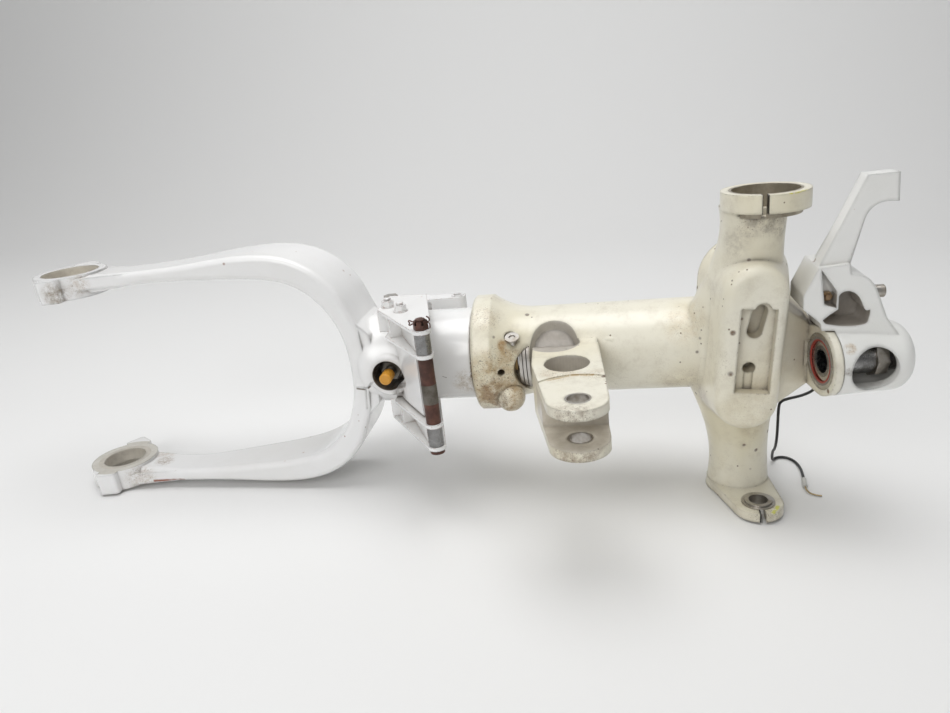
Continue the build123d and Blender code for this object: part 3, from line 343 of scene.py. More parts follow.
def paintMaterial(name, look):
    # enamel with clouding, grime and painted shade in its hollows and corners, chips on its edges, and marks
    # at given places
    material, tree, shader, where = startMaterial(name)
    cloud = patterned(tree, where, patterns["cloud"], look["cloudScale"])
    colour = blendColour(tree, cloud, look["colour"], look["cloudColour"])
    mottle = patterned(tree, where, patterns["mottle"])
    colour = blendColour(tree, times(tree, mottle, look["mottle"]), colour, look["mottleAndShadeColour"])
    # painted shade, partly grime: a soft brownish darkening over the wide hollows, found by occlusion
    hollow = band(tree, cornerMask(tree, look["hollowGrimeAndShadeReach"]), *enamel["hollow"])
    hollowGrimeAndShade = times(tree, hollow, patterned(tree, where, patterns["hollowGrimeAndShade"]))
    colour = blendColour(tree, times(tree, hollowGrimeAndShade, look["hollowGrimeAndShade"]), colour, look["mottleAndShadeColour"])
    grit = patterned(tree, where, patterns["grit"])
    patches = patterned(tree, where, patterns["gritPatches"])
    specks = times(tree, times(tree, grit, patches), look["specks"])
    colour, specks = addStains(tree, where, look, colour, specks, grit)
    # grime and painted shade: dark colour in tight corners, found by occlusion
    tight = band(tree, cornerMask(tree, look["cornerGrimeAndShadeReach"]), *enamel["corner"])
    smear = patterned(tree, where, patterns["smear"])
    cornerGrimeAndShade = times(tree, times(tree, tight, smear), look["cornerGrimeAndShade"], clamp=True)
    edge = edgeMask(tree, look["wearWidth"])
    for place in look.get("clean", ()):
        here = nearPlace(tree, where, place["at"], place["radius"])
        kept = calc(tree, "SUBTRACT", 1.0, times(tree, here, enamel["cleaned"]))
        cornerGrimeAndShade = times(tree, cornerGrimeAndShade, kept)
        edge = times(tree, edge, kept)
    colour = blendColour(tree, cornerGrimeAndShade, colour, look["cornerGrimeAndShadeColour"])
    colour = blendColour(tree, specks, colour, look["speckColour"])
    colour = addZones(tree, where, look, colour)
    coarse, fine = (pitMask(tree, where, scale, look["pits"]) for scale in enamel["pitScales"])
    pits = calc(tree, "MAXIMUM", coarse, fine)
    for place, size in look.get("spots", ()):
        pits = calc(tree, "MAXIMUM", pits, nearPlace(tree, where, place, size))
    chipSpan = (look["chipFrom"], look["chipFrom"] + enamel["chipStep"])
    broken = patterned(tree, where, patterns["chips"], span=chipSpan)
    chips = calc(tree, "MAXIMUM", times(tree, edge, broken), pits)
    rusty = patterned(tree, where, patterns["chipRust"])
    chipColour = blendColour(tree, rusty, look["chipColour"], look["chipRust"])
    colour = blendColour(tree, chips, colour, chipColour)
    height = times(tree, noise(tree, where, look["peelScale"]), enamel["peelShare"])
    casting = times(tree, noise(tree, where, enamel["castingScale"]), look["casting"])
    height = calc(tree, "ADD", height, casting)
    height = calc(tree, "SUBTRACT", height, chips)
    colour, height = addLines(tree, where, look, colour, height)
    plug(tree, shader.inputs["Base Color"], colour)
    dull = calc(tree, "MAXIMUM", calc(tree, "MAXIMUM", cornerGrimeAndShade, specks), chips)
    roughness = band(tree, dull, 0.0, 1.0, look["gloss"], enamel["dull"])
    plug(tree, shader.inputs["Roughness"], roughness)
    shader.inputs["Coat Weight"].default_value = look["coat"]
    shader.inputs["Coat Roughness"].default_value = enamel["coatRoughness"]
    radius = softRadius(tree, where, look)
    finishNormal(tree, shader, height, look["peel"], enamel["relief"], radius)
    return material


# what all bare metal shares
metal = {
    "film": {"detail": 5, "roughness": 0.65, "span": (0.35, 0.7)},
    "cornerReach": 0.004, "corner": (0.2, 0.8), "marksRoughness": 0.6, "relief": 0.0002,
}


def metalMaterial(name, look):
    # bare metal with turning marks, a dull film, and grime with painted shade in its corners
    material, tree, shader, where = startMaterial(name)
    film = patterned(tree, where, metal["film"], look["filmScale"])
    colour = blendColour(tree, film, look["colour"], look["filmColour"])
    # grime and painted shade: darker in the corners, found by occlusion
    corner = band(tree, cornerMask(tree, metal["cornerReach"]), *metal["corner"])
    colour = blendColour(tree, times(tree, corner, look["cornerGrimeAndShade"]), colour, look["cornerGrimeAndShadeColour"])
    plug(tree, shader.inputs["Base Color"], colour)
    shader.inputs["Metallic"].default_value = look["metallic"]
    plug(tree, shader.inputs["Roughness"], band(tree, film, 0.0, 1.0, *look["roughness"]))
    turned = addNode(tree, "ShaderNodeMapping", {"Vector": where, "Scale": look["marks"]}).outputs[0]
    fine = noise(tree, turned, 1.0, roughness=metal["marksRoughness"])
    finishNormal(tree, shader, fine, look["bump"], metal["relief"], look["round"])
    return material


plainRelief = 0.0003


def plainMaterial(name, look):
    # rubber, plastic and wire jacket: one colour that varies a little, and another outside a rim
    material, tree, shader, where = startMaterial(name)
    cloud = noise(tree, where, look["cloudScale"], detail=4)
    colour = blendColour(tree, cloud, look["colour"], look["cloudColour"])
    if "rimFrom" in look:
        reach = vectorMath(tree, "SUBTRACT", {0: where, 1: crankOrigin})
        rim = band(tree, besideAxis(tree, reach, crankAxis), *look["rimFrom"])
        colour = blendColour(tree, rim, colour, look["rimColour"])
    plug(tree, shader.inputs["Base Color"], colour)
    plug(tree, shader.inputs["Roughness"], band(tree, cloud, 0.0, 1.0, *look["roughness"]))
    finishNormal(tree, shader, noise(tree, where, look["grain"]), look["bump"], plainRelief, look["round"])
    return material


def dress(material, *names):
    for name in names:
        nodes[name].data.materials.clear()
        nodes[name].data.materials.append(material)


# In the looks, marks are placed and sized in millimetres on the gear's own axes. Reaches, widths of wear and
# roundings are in metres, and scales belong to the noise.
# housing: cream enamel, yellowed, with old grease around the collar, the lugs and the clevis
# painted shade: a grey-brown for the shaded inside walls of the windows in the housing and the bellcrank
windowShade = ((0.47, 0.43, 0.38), (0.38, 0.345, 0.30))
yellow = (0.72, 0.66, 0.10)
grease = (0.50, 0.37, 0.20)
# painted shadow: near-black for the inside of narrow slits
slitShadow = ((0.012, 0.011, 0.01), (0.03, 0.028, 0.025))
housingPaint = {
    "colour": (0.81, 0.78, 0.665), "cloudColour": (0.74, 0.685, 0.51), "cloudScale": 8,
    "mottle": 0.35, "hollowGrimeAndShade": 0.75, "hollowGrimeAndShadeReach": 0.035, "mottleAndShadeColour": (0.46, 0.40, 0.30),
    "cornerGrimeAndShade": 0.85, "cornerGrimeAndShadeReach": 0.007, "cornerGrimeAndShadeColour": (0.13, 0.10, 0.07),
    "specks": 0.25, "speckColour": (0.16, 0.10, 0.06), "pits": 0.10,
    "wearWidth": 0.0014, "chipFrom": 0.56, "chipColour": (0.30, 0.27, 0.23), "chipRust": (0.20, 0.13, 0.08),
    "gloss": 0.30, "coat": 0.25, "peelScale": 300, "casting": 1.3, "peel": 0.45, "round": 0.0034,
    "stains": [
        {"at": (-222, -44, -14), "radius": 46, "colour": (0.50, 0.36, 0.18), "amount": 0.75, "grit": 0.95},
        {"at": (-226, -48, -16), "radius": 15, "colour": (0.26, 0.15, 0.06), "amount": 0.85, "scale": 130},
        {"at": (-222, -38, -34), "radius": 30, "colour": (0.29, 0.18, 0.085), "amount": 0.9, "grit": 0.95},
        {"at": (-219, -48, -30), "radius": 11, "colour": (0.17, 0.11, 0.06), "amount": 0.9, "scale": 160},
        {"at": (-222, -50, 4), "radius": 12, "colour": (0.40, 0.27, 0.13), "amount": 0.55, "grit": 0.9},
        {"at": (-206, -46, 14), "radius": 15, "colour": (0.40, 0.26, 0.12), "amount": 0.7},
        {"at": (-213, -42, 20), "radius": 7, "colour": (0.38, 0.22, 0.08), "amount": 0.9},
        {"at": (-228, -30, 44), "radius": 20, "colour": (0.55, 0.47, 0.33), "amount": 0.6},
        {"at": (-150, -184, 14), "radius": 24, "colour": (0.42, 0.36, 0.28), "amount": 0.8, "scale": 240},
        {"at": (-150, -184, -16), "radius": 28, "colour": (0.36, 0.29, 0.21), "amount": 0.9, "scale": 240},
        {"at": (-163, -112, 20), "radius": 20, "colour": (0.55, 0.45, 0.31), "amount": 0.7},
        {"at": (-133, -118, 20), "radius": 15, "colour": (0.56, 0.48, 0.35), "amount": 0.6},
        {"at": (-60, -30, 30), "radius": 26, "colour": (0.60, 0.50, 0.33), "amount": 0.5, "grit": 0.3},
        {"at": (-60, -22, -30), "radius": 34, "colour": (0.48, 0.41, 0.31), "amount": 0.5, "grit": 0.4},
        # painted shade: these three grey-brown patches under the upper trunnion ring's overhang stand for its
        # shadow
        {"at": (-2, -62, 117), "radius": 18, "colour": (0.20, 0.175, 0.14), "amount": 0.95, "scale": 45},
        {"at": (11, -55, 108), "radius": 13, "colour": (0.34, 0.30, 0.23), "amount": 0.75, "scale": 80},
        {"at": (-15, -62, 112), "radius": 12, "colour": (0.36, 0.32, 0.25), "amount": 0.7, "scale": 110},
        {"at": (-14, -72, -32), "radius": 32, "colour": (0.60, 0.53, 0.38), "amount": 0.5, "grit": 0.2},
        {"at": (4, -62, -140), "radius": 20, "colour": (0.42, 0.38, 0.27), "amount": 0.7, "scale": 200},
        {"at": (50, -52, 10), "radius": 26, "colour": (0.52, 0.47, 0.37), "amount": 0.5, "grit": 0.3},
        {"at": (-40, -40, -42), "radius": 24, "colour": (0.38, 0.33, 0.26), "amount": 0.75,
         "scale": 55, "grit": 0.2},
        {"at": (2, -32, -70), "radius": 22, "colour": (0.50, 0.41, 0.26), "amount": 0.65,
         "scale": 60, "grit": 0.2},
        {"at": (-24, -54, 98), "radius": 16, "colour": (0.46, 0.42, 0.34), "amount": 0.6,
         "scale": 120, "grit": 0.2},
    ],
    "spots": [
        ((-27.8, -74, 32), 3.0), ((-29.2, -73, -2.2), 3.2), ((-8.3, -21.6, -92.7), 2.2),
        ((3, -17, -100.4), 2.4), ((-14.2, -58.8, 85.3), 2.0), ((-50.6, -39.7, 4.8), 1.8),
    ],
    "hollows": [
        {"at": (-166, -46, 8), "radius": 55, "round": 0.008},
        {"at": (-14, -40, 84), "radius": 44, "round": 0.011},
        {"at": (-40, -30, 20), "radius": 48, "round": 0.010},
        {"at": (-34, -40, -44), "radius": 44, "round": 0.011},
        {"at": (22, -52, 40), "radius": 26, "round": 0.009},
        {"at": (-12, -20, -126), "radius": 30, "round": 0.007},
        {"at": (-211, -42, -30), "radius": 20, "round": 0.008},
        {"at": (-152, -118, 20), "radius": 44, "round": 0.0005},
    ],
    "clean": [
        {"at": (-153, -117, 20), "radius": 42},
        {"at": (-150, -140, -12), "radius": 60},
    ],
    "zones": [
        # painted shade inside the housing's two windows
        {"about": "Z", "centre": (-169, -44.1), "radius": 22.2, "span": (-45, 45), "colours": windowShade},
        {"about": "Z", "centre": (-156, -93), "radius": 18.1, "span": (-20.3, 20.3), "colours": windowShade},
        # painted shade: the lower clevis lug is coloured darker for the upper lug's shade over it
        {"about": "Z", "centre": (-146, -142), "radius": 44, "span": (-11.6, 11.6), "soft": 0.1,
         "colours": ((0.66, 0.61, 0.52), (0.54, 0.49, 0.40))},
        # painted shadow: near-black inside the pinch slits of the upper ring and the lower lug
        {"about": "Z", "centre": (-6, -68), "radius": 2.5, "tall": 8.0, "soft": 0.1, "span": (118, 142),
         "colours": slitShadow},
        {"about": "Z", "centre": (0, -68), "radius": 2.5, "tall": 6.0, "soft": 0.1, "span": (-152, -126),
         "colours": slitShadow},
    ],
    "lines": [
        {"ends": ((-30, -75.3, 134), (-12, -75.3, 136)), "width": 1.6, "colour": yellow, "solid": 0.1},
        {"ends": ((10, -75, 136), (26, -62, 136)), "width": 1.4, "colour": yellow, "solid": 0.06},
        {"ends": ((8, -66, -136), (16, -52, -136)), "width": 2.2,
         "colour": (0.66, 0.66, 0.12), "solid": 0.1},
        {"ends": ((-126, -36, 21), (-118, -37, 18)), "width": 2.6, "height": 2.2, "wave": 3},
        {"ends": ((-170, -126, 20), (-153, -117.5, 20)), "width": 1.3, "colour": grease, "solid": 0.14},
        {"ends": ((-153, -117.5, 20), (-134, -118, 20)), "width": 1.3, "colour": grease, "solid": 0.14},
    ],
}

# white enamel of the fork, the brackets, the torque link and the bellcrank
bareFace = ((0.50, 0.46, 0.40), (0.62, 0.58, 0.50))
axleCentre = (-620, -24)
whitePaint = {
    "colour": (0.87, 0.87, 0.87), "cloudColour": (0.83, 0.825, 0.81), "cloudScale": 6,
    "mottle": 0.05, "hollowGrimeAndShade": 0.30, "hollowGrimeAndShadeReach": 0.02, "mottleAndShadeColour": (0.55, 0.50, 0.43),
    "cornerGrimeAndShade": 0.75, "cornerGrimeAndShadeReach": 0.005, "cornerGrimeAndShadeColour": (0.17, 0.13, 0.10),
    "specks": 0.06, "speckColour": (0.22, 0.15, 0.10), "pits": 0.03,
    "wearWidth": 0.0009, "chipFrom": 0.60, "chipColour": (0.40, 0.33, 0.28), "chipRust": (0.28, 0.12, 0.08),
    "gloss": 0.20, "coat": 0.45, "peelScale": 240, "casting": 0.6, "peel": 0.3, "round": 0.0028,
}
forkMarks = {
    "stains": [
        {"at": (-612, -60, 96), "radius": 15, "colour": (0.30, 0.25, 0.19), "amount": 0.9, "scale": 150},
        {"at": (-596, -46, 100), "radius": 14, "colour": (0.50, 0.42, 0.33), "amount": 0.5, "scale": 260},
        {"at": (-590, -50, -100), "radius": 20, "colour": (0.52, 0.45, 0.37), "amount": 0.6, "scale": 260},
        {"at": (-575, -26, -92), "radius": 12, "colour": (0.36, 0.28, 0.21), "amount": 0.7,
         "scale": 330, "grit": 0.9},
        {"at": (-584, -10, -92), "radius": 16, "colour": (0.52, 0.42, 0.33), "amount": 0.5, "scale": 200},
        {"at": (-248, -36, -14), "radius": 18, "colour": (0.46, 0.38, 0.28), "amount": 0.6, "scale": 160},
        {"at": (-312, -40, -22), "radius": 10, "colour": (0.10, 0.08, 0.06), "amount": 0.8, "scale": 60},
    ],
    "hollows": [
        {"at": (-332, -34, 12), "radius": 46, "round": 0.007},
        {"at": (-586, -30, 98), "radius": 26, "round": 0.006},
        {"at": (-586, -30, -98), "radius": 26, "round": 0.006},
    ],
    "zones": [
        {"about": "Z", "centre": axleCentre, "radius": 25.3, "span": (100.7, 110), "colours": bareFace},
        {"about": "Z", "centre": axleCentre, "radius": 20.4, "span": (80, 110), "colours": bareFace},
        {"about": "Z", "centre": axleCentre, "radius": 36, "span": (-88.4, -87.4), "soft": 0.15,
         "colours": ((0.67, 0.65, 0.59), (0.57, 0.54, 0.48))},
        {"about": "Z", "centre": axleCentre, "radius": 25.3, "span": (-110, -87), "colours": bareFace},
        {"about": "Y", "centre": (-320, -3.5), "radius": 14.2, "span": (-46, -14), "scale": 60,
         "colours": ((0.055, 0.042, 0.03), (0.15, 0.115, 0.08))},
    ],
    "lines": [
        # painted shadow: two dark lines under the crown's raised parting bead
        {"ends": ((-354, -36, -17.1), (-344, -36.5, -18.2)), "width": 1.2, "colour": (0.22, 0.19, 0.16)},
        {"ends": ((-343, -37.3, -17.6), (-338, -40, -13.4)), "width": 1.3, "colour": (0.16, 0.13, 0.11)},
        {"ends": ((-572, -11, -91), (-434, -11, -90)), "width": 1.2, "height": 2.0,
         "wave": 2, "waveScale": 40, "colour": (0.45, 0.38, 0.32), "solid": 0.02},
        {"ends": ((-589, -45, 106), (-593, -45, 95)), "width": 0.7, "colour": (0.08, 0.06, 0.05)},
        {"ends": ((-577, -41, 106), (-580, -41, 98)), "width": 0.6,
         "colour": (0.08, 0.06, 0.05), "solid": 0.1},
        {"ends": ((-580, -45.4, -104), (-546, -42, -106)), "width": 1.8,
         "colour": (0.30, 0.12, 0.08), "solid": 0.2},
        {"ends": ((-277, -41, -3), (-266, -41, -8)), "width": 0.6,
         "colour": (0.25, 0.22, 0.19), "solid": 0.3},
        {"ends": ((-243, -41, 6), (-244, -41, -10)), "width": 1.4,
         "colour": (0.32, 0.26, 0.2), "solid": 0.1},
    ],
}
crankPaint = {
    "colour": (0.82, 0.82, 0.80), "cloudColour": (0.76, 0.765, 0.73), "gloss": 0.28, "hollowGrimeAndShade": 0.4, "cornerGrimeAndShade": 0.3,
    "round": 0.0045,
    "stains": [
        {"at": (57, -78, 16), "radius": 6, "colour": (0.52, 0.40, 0.25), "amount": 0.8, "scale": 200},
        {"at": (55, -82, -1), "radius": 5, "colour": (0.16, 0.13, 0.10), "amount": 1.0, "scale": 60},
    ],
    "zones": [
        # painted shade inside the bellcrank's window
        {"about": "Y", "centre": (61, 38), "radius": 21, "span": (-64.8, -20), "colours": windowShade},
    ],
}

dress(paintMaterial("housingPaint", housingPaint), "main_housing")
dress(paintMaterial("forkPaint", {**whitePaint, **forkMarks}), "fork")
bracketPaint = {"cornerGrimeAndShade": 0.95, "round": 0.0012, "wearWidth": 0.0011, "chipFrom": 0.49,
                "chipColour": (0.42, 0.24, 0.18), "chipRust": (0.30, 0.12, 0.08)}
dress(paintMaterial("bracketPaint", {**whitePaint, **bracketPaint}), "upper_link_bracket",
      "lower_link_bracket", "bracket_bolts", "torque_link", "torque_link_bushes")
dress(paintMaterial("crankPaint", {**whitePaint, **crankPaint}), "steering_bellcrank")
print("paint done")

steel = {
    "colour": (0.55, 0.53, 0.50), "filmColour": (0.38, 0.34, 0.29), "filmScale": 90,
    "cornerGrimeAndShade": 0.7, "cornerGrimeAndShadeColour": (0.10, 0.07, 0.04), "metallic": 1.0, "roughness": (0.28, 0.5),
    "marks": (60, 60, 2500), "bump": 0.15, "round": 0.0004,
}
rust = {
    "colour": (0.13, 0.055, 0.038), "filmColour": (0.07, 0.034, 0.026), "cornerGrimeAndShadeColour": (0.03, 0.02, 0.015),
    "metallic": 0.35, "roughness": (0.42, 0.6),
}
darkSteel = {"colour": (0.17, 0.155, 0.135), "filmColour": (0.10, 0.088, 0.07), "metallic": 0.8}
greySteel = {"colour": (0.30, 0.30, 0.30), "filmColour": (0.21, 0.205, 0.20), "roughness": (0.22, 0.38)}
liner = {"colour": (0.42, 0.38, 0.30), "filmColour": (0.30, 0.26, 0.20), "metallic": 0.6}
brownSteel = {"colour": (0.40, 0.28, 0.16), "filmColour": (0.22, 0.14, 0.08), "metallic": 0.6}
bronze = {"colour": (0.55, 0.38, 0.18), "filmColour": (0.40, 0.27, 0.13)}
chrome = {"colour": (0.72, 0.72, 0.73), "filmColour": (0.62, 0.62, 0.62), "roughness": (0.06, 0.16),
          "cornerGrimeAndShade": 0.2, "bump": 0.03}
bearing = {"filmColour": (0.48, 0.47, 0.45), "roughness": (0.16, 0.3)}
aluminium = {"colour": (0.7, 0.7, 0.7), "filmColour": (0.6, 0.6, 0.6)}
copper = {"colour": (0.6, 0.45, 0.25), "filmColour": (0.5, 0.4, 0.25)}
dress(metalMaterial("bareSteel", steel), "locking_rings", "grease_plug", "lower_trunnion_bush",
      "lower_trunnion_washers", "brace_bushes", "torque_link_pin", "stub_pin", "shaft_nut")
dress(metalMaterial("greySteel", {**steel, **greySteel}), "outer_spacers", "pivot_shaft")
dress(metalMaterial("stainedLiner", {**steel, **liner}), "upper_trunnion_liner")
dress(metalMaterial("brownSteel", {**steel, **brownSteel}), "crank_bolt")
dress(metalMaterial("bearingSteel", {**steel, **bearing}), "ear_outer_race", "ear_inner_race", "ear_balls")
dress(metalMaterial("rustedSteel", {**steel, **rust}), "link_pin", "link_pin_nut", "cotter_pin",
      "rusty_sleeves")
dress(metalMaterial("darkSteel", {**steel, **darkSteel}), "centre_sleeve", "hub_bolt", "hub_nut", "end_plug",
      "wire_gland")
dress(metalMaterial("bearingBronze", {**steel, **bronze}), "lower_bearing", "upper_bearing", "piston_gland",
      "piston_head")
dress(metalMaterial("chromePlate", {**steel, **chrome}), "inner_cylinder", "piston_tube")
dress(metalMaterial("bareAluminium", {**steel, **aluminium}), "metering_tube")
dress(metalMaterial("bareWire", {**steel, **copper}), "wire_tip")
print("metal done")

rubber = {"colour": (0.015, 0.015, 0.015), "cloudColour": (0.03, 0.028, 0.025), "cloudScale": 60,
          "roughness": (0.45, 0.65), "grain": 500, "bump": 0.1, "round": 0.0003}
redSeal = {"colour": (0.42, 0.05, 0.03), "cloudColour": (0.20, 0.025, 0.018), "roughness": (0.35, 0.5),
           "rimFrom": (0.0175, 0.0179), "rimColour": (0.20, 0.185, 0.165)}
orange = {"colour": (0.75, 0.36, 0.04), "cloudColour": (0.50, 0.22, 0.03), "roughness": (0.3, 0.5)}
jacket = {"colour": (0.012, 0.012, 0.013), "cloudColour": (0.022, 0.022, 0.022), "roughness": (0.32, 0.45)}
whiteSleeve = {"colour": (0.62, 0.62, 0.60), "cloudColour": (0.45, 0.44, 0.40), "roughness": (0.3, 0.5)}
dress(plainMaterial("blackRubber", rubber), "dust_wiper")
dress(plainMaterial("redSeal", {**rubber, **redSeal}), "ear_seal")
dress(plainMaterial("orangeCap", {**rubber, **orange}), "hub_cap")
jacketMaterial = plainMaterial("wireJacket", {**rubber, **jacket})
dress(jacketMaterial, "sensor_wire")
dress(plainMaterial("whiteSleeve", {**rubber, **whiteSleeve}), "wire_sleeve")
print("rubber and plastic done")

# wire: limp, from its gland on the housing's end, down behind the ear and along the floor; its length is in
# metres and the rest in millimetres
wire = {
    "radius": 1.3, "rings": 4, "lift": 0.05, "length": 0.246, "sleeveRadius": 2.2,
    "hanging": [(31, 14, -20), (43, 14, -20), (55, 10, -28), (58, 4, -42), (56, 3, -52), (45, 2, -57),
                (33, 0, -58.5), (26, 0, -61), (25, 1, -68), (26, 6, -87), (27, 12, -105), (28, 22, -120),
                (29, 36, -130)],
    "lying": [(31, 47), (37, 54.5), (45.5, 55.5), (52, 49), (54.5, 38)],
    "nearSleeve": [(54, 24), (52, 10)],
}


def makeCurve(name, runs):
    # a curve with a smooth line along each run of points
    curve = bpy.data.curves.new(name, "CURVE")
    curve.dimensions = "3D"
    for run in runs:
        spline = curve.splines.new("NURBS")
        spline.points.add(len(run) - 1)
        for knot, point in zip(spline.points, run):
            knot.co = (*point, 1)
        spline.order_u = 3
        spline.use_endpoint_u = True
    return curve


def makeRod(name, runs, radius, material, rings=3):
    # a round rod along each run of points
    curve = makeCurve(name, runs)
    curve.bevel_depth = radius / 1000
    curve.bevel_resolution = rings
    curve.use_fill_caps = True
    curve.materials.append(material)
    return addObject(name, curve)


def sleevePoints():
    # where the wire runs through its sleeve on the floor
    return [groundPoint(x, y, wire["sleeveRadius"] + wire["lift"]) for x, y in wire["nearSleeve"]]


def makeWire(ends):
    points = [gearPoint(*place) for place in wire["hanging"]]
    points += [groundPoint(x, y, wire["radius"] + wire["lift"]) for x, y in wire["lying"]]
    points += sleevePoints()
    piece = makeRod("sensorWire", [points], wire["radius"], jacketMaterial, wire["rings"])
    print("wire runs", round(piece.data.splines[0].calc_length(), 4))
    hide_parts("sensor_wire")
    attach(piece, "housing")


# node groups: a helical thread, and strands twisted round a line
def startGroup(name, inputs):
    group = bpy.data.node_groups.new(name, "GeometryNodeTree")
    for label, kind, value in inputs:
        socket = group.interface.new_socket(label, in_out="INPUT", socket_type="NodeSocket" + kind)
        if value is not None:
            socket.default_value = value
    group.interface.new_socket("Geometry", in_out="OUTPUT", socket_type="NodeSocketGeometry")
    return group, group.nodes.new("NodeGroupInput").outputs


def endGroup(group, geometry, material):
    real = addNode(group, "GeometryNodeRealizeInstances", {"Geometry": geometry}).outputs[0]
    sockets = {"Geometry": real, "Material": material}
    painted = addNode(group, "GeometryNodeSetMaterial", sockets).outputs[0]
    plug(group, group.nodes.new("NodeGroupOutput").inputs[0], painted)


def sweep(group, curve, profile):
    sockets = {"Curve": curve, "Profile Curve": profile}
    return addNode(group, "GeometryNodeCurveToMesh", sockets).outputs[0]


def ring(group, corners, radius):
    sockets = {"Resolution": corners, "Radius": radius}
    return addNode(group, "GeometryNodeCurvePrimitiveCircle", sockets).outputs[0]


def threadNodes():
    inputs = [("Radius", "Float", 0.004), ("Pitch", "Float", 0.001), ("Turns", "Float", 6.0),
              ("Crest", "Float", 0.0003), ("Material", "Material", None)]
    group, given = startGroup("helicalThread", inputs)
    rise = times(group, given["Pitch"], given["Turns"])
    helix = addNode(group, "GeometryNodeCurveSpiral", {
        "Resolution": 28, "Rotations": given["Turns"], "Start Radius": given["Radius"],
        "End Radius": given["Radius"], "Height": rise}).outputs[0]
    ridge = ring(group, corners=5, radius=given["Crest"])
    endGroup(group, sweep(group, helix, ridge), given["Material"])
    return group


def strandNodes():
    inputs = [("Curve", "Geometry", None), ("Lay", "Float", 0.0005), ("Thickness", "Float", 0.0003),
              ("Strands", "Int", 5), ("Twist", "Float", 14.0), ("Material", "Material", None)]
    group, given = startGroup("twistedStrands", inputs)
    line = addNode(group, "GeometryNodeResampleCurve", {"Curve": given["Curve"], "Count": 60}).outputs[0]
    along = addNode(group, "GeometryNodeSplineParameter").outputs["Factor"]
    turned = addNode(group, "GeometryNodeSetCurveTilt", {
        "Curve": line, "Tilt": times(group, along, given["Twist"])}).outputs[0]
    seats = addNode(group, "GeometryNodeMeshCircle", {"Vertices": given["Strands"], "Radius": given["Lay"]})
    oneWire = ring(group, corners=8, radius=given["Thickness"])
    rounds = addNode(group, "GeometryNodeInstanceOnPoints", {
        "Points": seats.outputs[0], "Instance": oneWire}).outputs[0]
    profile = addNode(group, "GeometryNodeRealizeInstances", {"Geometry": rounds}).outputs[0]
    endGroup(group, sweep(group, turned, profile), given["Material"])
    return group


def grownMesh(name, group, values, data):
    # what the node group makes with these values, as a plain mesh object
    carrier = addObject(name, data)
    modifier = carrier.modifiers.new(name, "NODES")
    modifier.node_group = group
    for item in group.interface.items_tree:
        if item.in_out == "INPUT" and item.name in values:
            modifier[item.identifier] = values[item.name]
    graph = bpy.context.evaluated_depsgraph_get()
    mesh = bpy.data.meshes.new_from_object(carrier.evaluated_get(graph), depsgraph=graph)
    bpy.data.objects.remove(carrier)
    return addObject(name, mesh)


def materialOf(node):
    return nodes[node].data.materials[0]


# threads that show: on the hub bolt, the link pin, the saddle bolts and the bellcrank's shaft;
# sizes in millimetres, as are the brackets' outer face and the heights of small parts above it
forward = Vector((0, -1, 0))
linkPin = (-271, -88)
bracketFace = 53.6
above = {"pinThread": 7.3, "boltThread": 6.1, "cotter": 5.65}
shaftThreadFrom = 28.5
crest = 0.32
threads = [
    {"name": "hubBoltThread", "start": gearPoint(-320, -30.5, -3.5), "axis": forward, "radius": 5.0,
     "pitch": 1.1, "turns": 6.5, "body": "fork_leg", "slot": "dark_steel"},
    {"name": "linkPinThread", "start": gearPoint(*linkPin, bracketFace + above["pinThread"]),
     "axis": acrossAxis, "radius": 4.0, "pitch": 0.7, "turns": 1.8, "body": "link_pin_set",
     "slot": "rusted_steel"},
    {"name": "shaftThread", "start": crankOrigin + crankAxis * (shaftThreadFrom / 1000), "axis": crankAxis,
     "radius": 12.5, "pitch": 1.3, "turns": 7.5, "body": "bellcrank", "slot": "bare_steel"},
]
for row, place in enumerate([(-318, -16), (-302, -33)]):
    for side, end in ((1, "Upper"), (-1, "Lower")):
        start = gearPoint(*place, side * (bracketFace + above["boltThread"]))
        threads.append({
            "name": "saddleThread%d%s" % (row, end), "start": start, "axis": acrossAxis * side,
            "radius": 3.0, "pitch": 0.8, "turns": 2.0, "body": "fork_leg", "slot": "white_paint"})


def makeThreads():
    group = threadNodes()
    wearers = {"dark_steel": "hub_bolt", "rusted_steel": "link_pin", "bare_steel": "pivot_shaft",
               "white_paint": "bracket_bolts"}
    for thread in threads:
        values = {"Radius": thread["radius"] / 1000, "Pitch": thread["pitch"] / 1000,
                  "Turns": thread["turns"], "Crest": crest / 1000,
                  "Material": materialOf(wearers[thread["slot"]])}
        piece = grownMesh(thread["name"], group, values, bpy.data.meshes.new("carrier"))
        turn = Vector((0, 0, 1)).rotation_difference(thread["axis"]).to_matrix().to_4x4()
        piece.data.transform(Matrix.Translation(thread["start"]) @ turn)
        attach(piece, thread["body"])


makeThreads()
print("threads done")

# bare end of the wire: it leaves the sleeve, then bends flat along the floor; the sleeve's reach and the
# straight part are in metres, the rest in millimetres
strands = {"sleeveReach": 0.014, "straight": 0.007, "height": 0.9, "bends": [(4, -12), (11, -13)]}


def makeStrands():
    start, end = sleevePoints()
    way = (end - start).normalized()
    tip = end + way * strands["sleeveReach"]
    offset = tip - gearOrigin
    x, y = offset.dot(strutAxis) * 1000, offset.y * 1000
    points = [tip, tip + way * strands["straight"]]
    points += [groundPoint(x + aside, y + nearer, strands["height"]) for aside, nearer in strands["bends"]]
    values = {"Material": materialOf("wire_tip")}
    piece = grownMesh("wireStrands", strandNodes(), values, makeCurve("strandLine", [points]))
    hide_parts("wire_tip")
    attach(piece, "housing")
    return piece


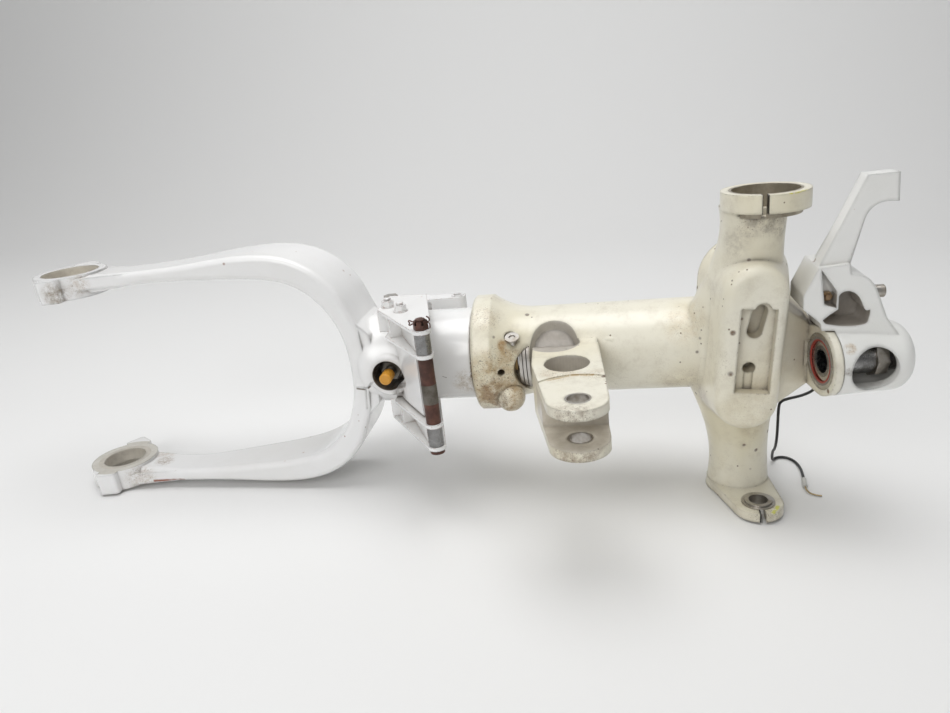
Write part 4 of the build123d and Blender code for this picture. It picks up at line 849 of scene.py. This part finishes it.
# split pin: an eye on the left, one leg bent up over the pin's end and one down the nut's side
cotter = {
    "radius": 0.55, "height": bracketFace + above["cotter"],
    "legs": [
        [(-279.5, 0.0), (-281.0, 1.4), (-279.6, 2.4), (-277.6, 0.6), (-266.0, 0.4), (-263.4, 0.6),
         (-263.0, 3.6), (-265.5, 5.0)],
        [(-279.5, 0.0), (-281.0, -1.4), (-279.6, -2.2), (-277.6, -0.5), (-266.0, -0.4), (-263.4, -0.6),
         (-263.2, -3.4), (-263.6, -5.2)],
    ],
}


def makeCotter():
    y, height = linkPin[1], cotter["height"]
    runs = [[gearPoint(x, y, height + rise) for x, rise in leg] for leg in cotter["legs"]]
    piece = makeRod("cotter", runs, cotter["radius"], materialOf("cotter_pin"))
    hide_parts("cotter_pin")
    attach(piece, "link_pin_set")


# raised parting line of the forging: one run across the crown and one down it
bead = {
    "radius": 0.9,
    "runs": [
        [(-353.6, -35.9, -15.4), (-350, -36.3, -16.2), (-345, -36.5, -16.6), (-343, -36.8, -16.2),
         (-340.1, -39.1, -13.3), (-335.8, -41.9, -9.8), (-333.8, -41.9, -8.3)],
        [(-345, -36.5, -16.6), (-345.5, -36.5, -26), (-347, -36.5, -38)],
    ],
}


def makeBead():
    runs = [[gearPoint(*place) for place in run] for run in bead["runs"]]
    piece = makeRod("crownBead", runs, bead["radius"], materialOf("fork"))
    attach(piece, "fork_leg")


makeBead()
makeCotter()
print("cotter and bead done")
makeWire([nodes["wire_sleeve"], makeStrands()])
print("wire done")

# floor that curves up into a backdrop, and light
studio = {
    "floor": (0.82, 0.82, 0.815), "roughness": 0.8, "drop": 0.0004, "world": 0.24,
    "wallY": 2.2, "wallTop": 3.0, "reach": 6.0, "bend": 1.1, "steps": 24,
}
lamps = {
    "key": {"place": (-0.15, 0.05, 1.75), "aim": (0, 0, 0.1), "size": 1.5, "power": 12},
    "fill": {"place": (-0.6, -1.9, 1.25), "aim": (0, 0, 0.1), "size": 1.3, "power": 17},
    "wall": {"place": (0.0, 0.2, 2.6), "aim": (0, 2.2, 0.6), "size": 2.4, "power": 27},
}


def makeBackdrop():
    # the profile runs along the floor, round a quarter circle and up the wall
    wallY, bend, steps = studio["wallY"], studio["bend"], studio["steps"]
    profile = [(-studio["reach"], 0)]
    for step in range(steps + 1):
        turn = pi / 2 * step / steps
        profile.append((wallY - bend + bend * sin(turn), bend - bend * cos(turn)))
    profile.append((wallY, studio["wallTop"]))
    points = [(x, y, z) for x in (-studio["reach"], studio["reach"]) for y, z in profile]
    count = len(profile)
    faces = [(n, n + count, n + count + 1, n + 1) for n in range(count - 1)]
    mesh = bpy.data.meshes.new("backdrop")
    mesh.from_pydata(points, [], faces)
    mesh.shade_smooth()
    paper = bpy.data.materials.new("palePaper")
    paper.use_nodes = True
    inputs = paper.node_tree.nodes["Principled BSDF"].inputs
    inputs["Base Color"].default_value = (*studio["floor"], 1)
    inputs["Roughness"].default_value = studio["roughness"]
    mesh.materials.append(paper)
    floor = addObject("backdrop", mesh)
    floor.location.z = -studio["drop"]


def makeLight():
    for name, spec in lamps.items():
        lamp = bpy.data.lights.new(name, "AREA")
        lamp.shape = "DISK"
        lamp.size = spec["size"]
        lamp.energy = spec["power"]
        light = addObject(name, lamp)
        light.visible_camera = False
        light.matrix_world = aimed(spec["place"], spec["aim"])
    world = bpy.data.worlds.new("studio")
    world.use_nodes = True
    inputs = world.node_tree.nodes["Background"].inputs
    inputs["Color"].default_value = (1, 1, 1, 1)
    inputs["Strength"].default_value = studio["world"]
    bpy.context.scene.world = world
    bpy.context.scene.view_settings.view_transform = "Standard"


makeBackdrop()
makeLight()
print("studio done")
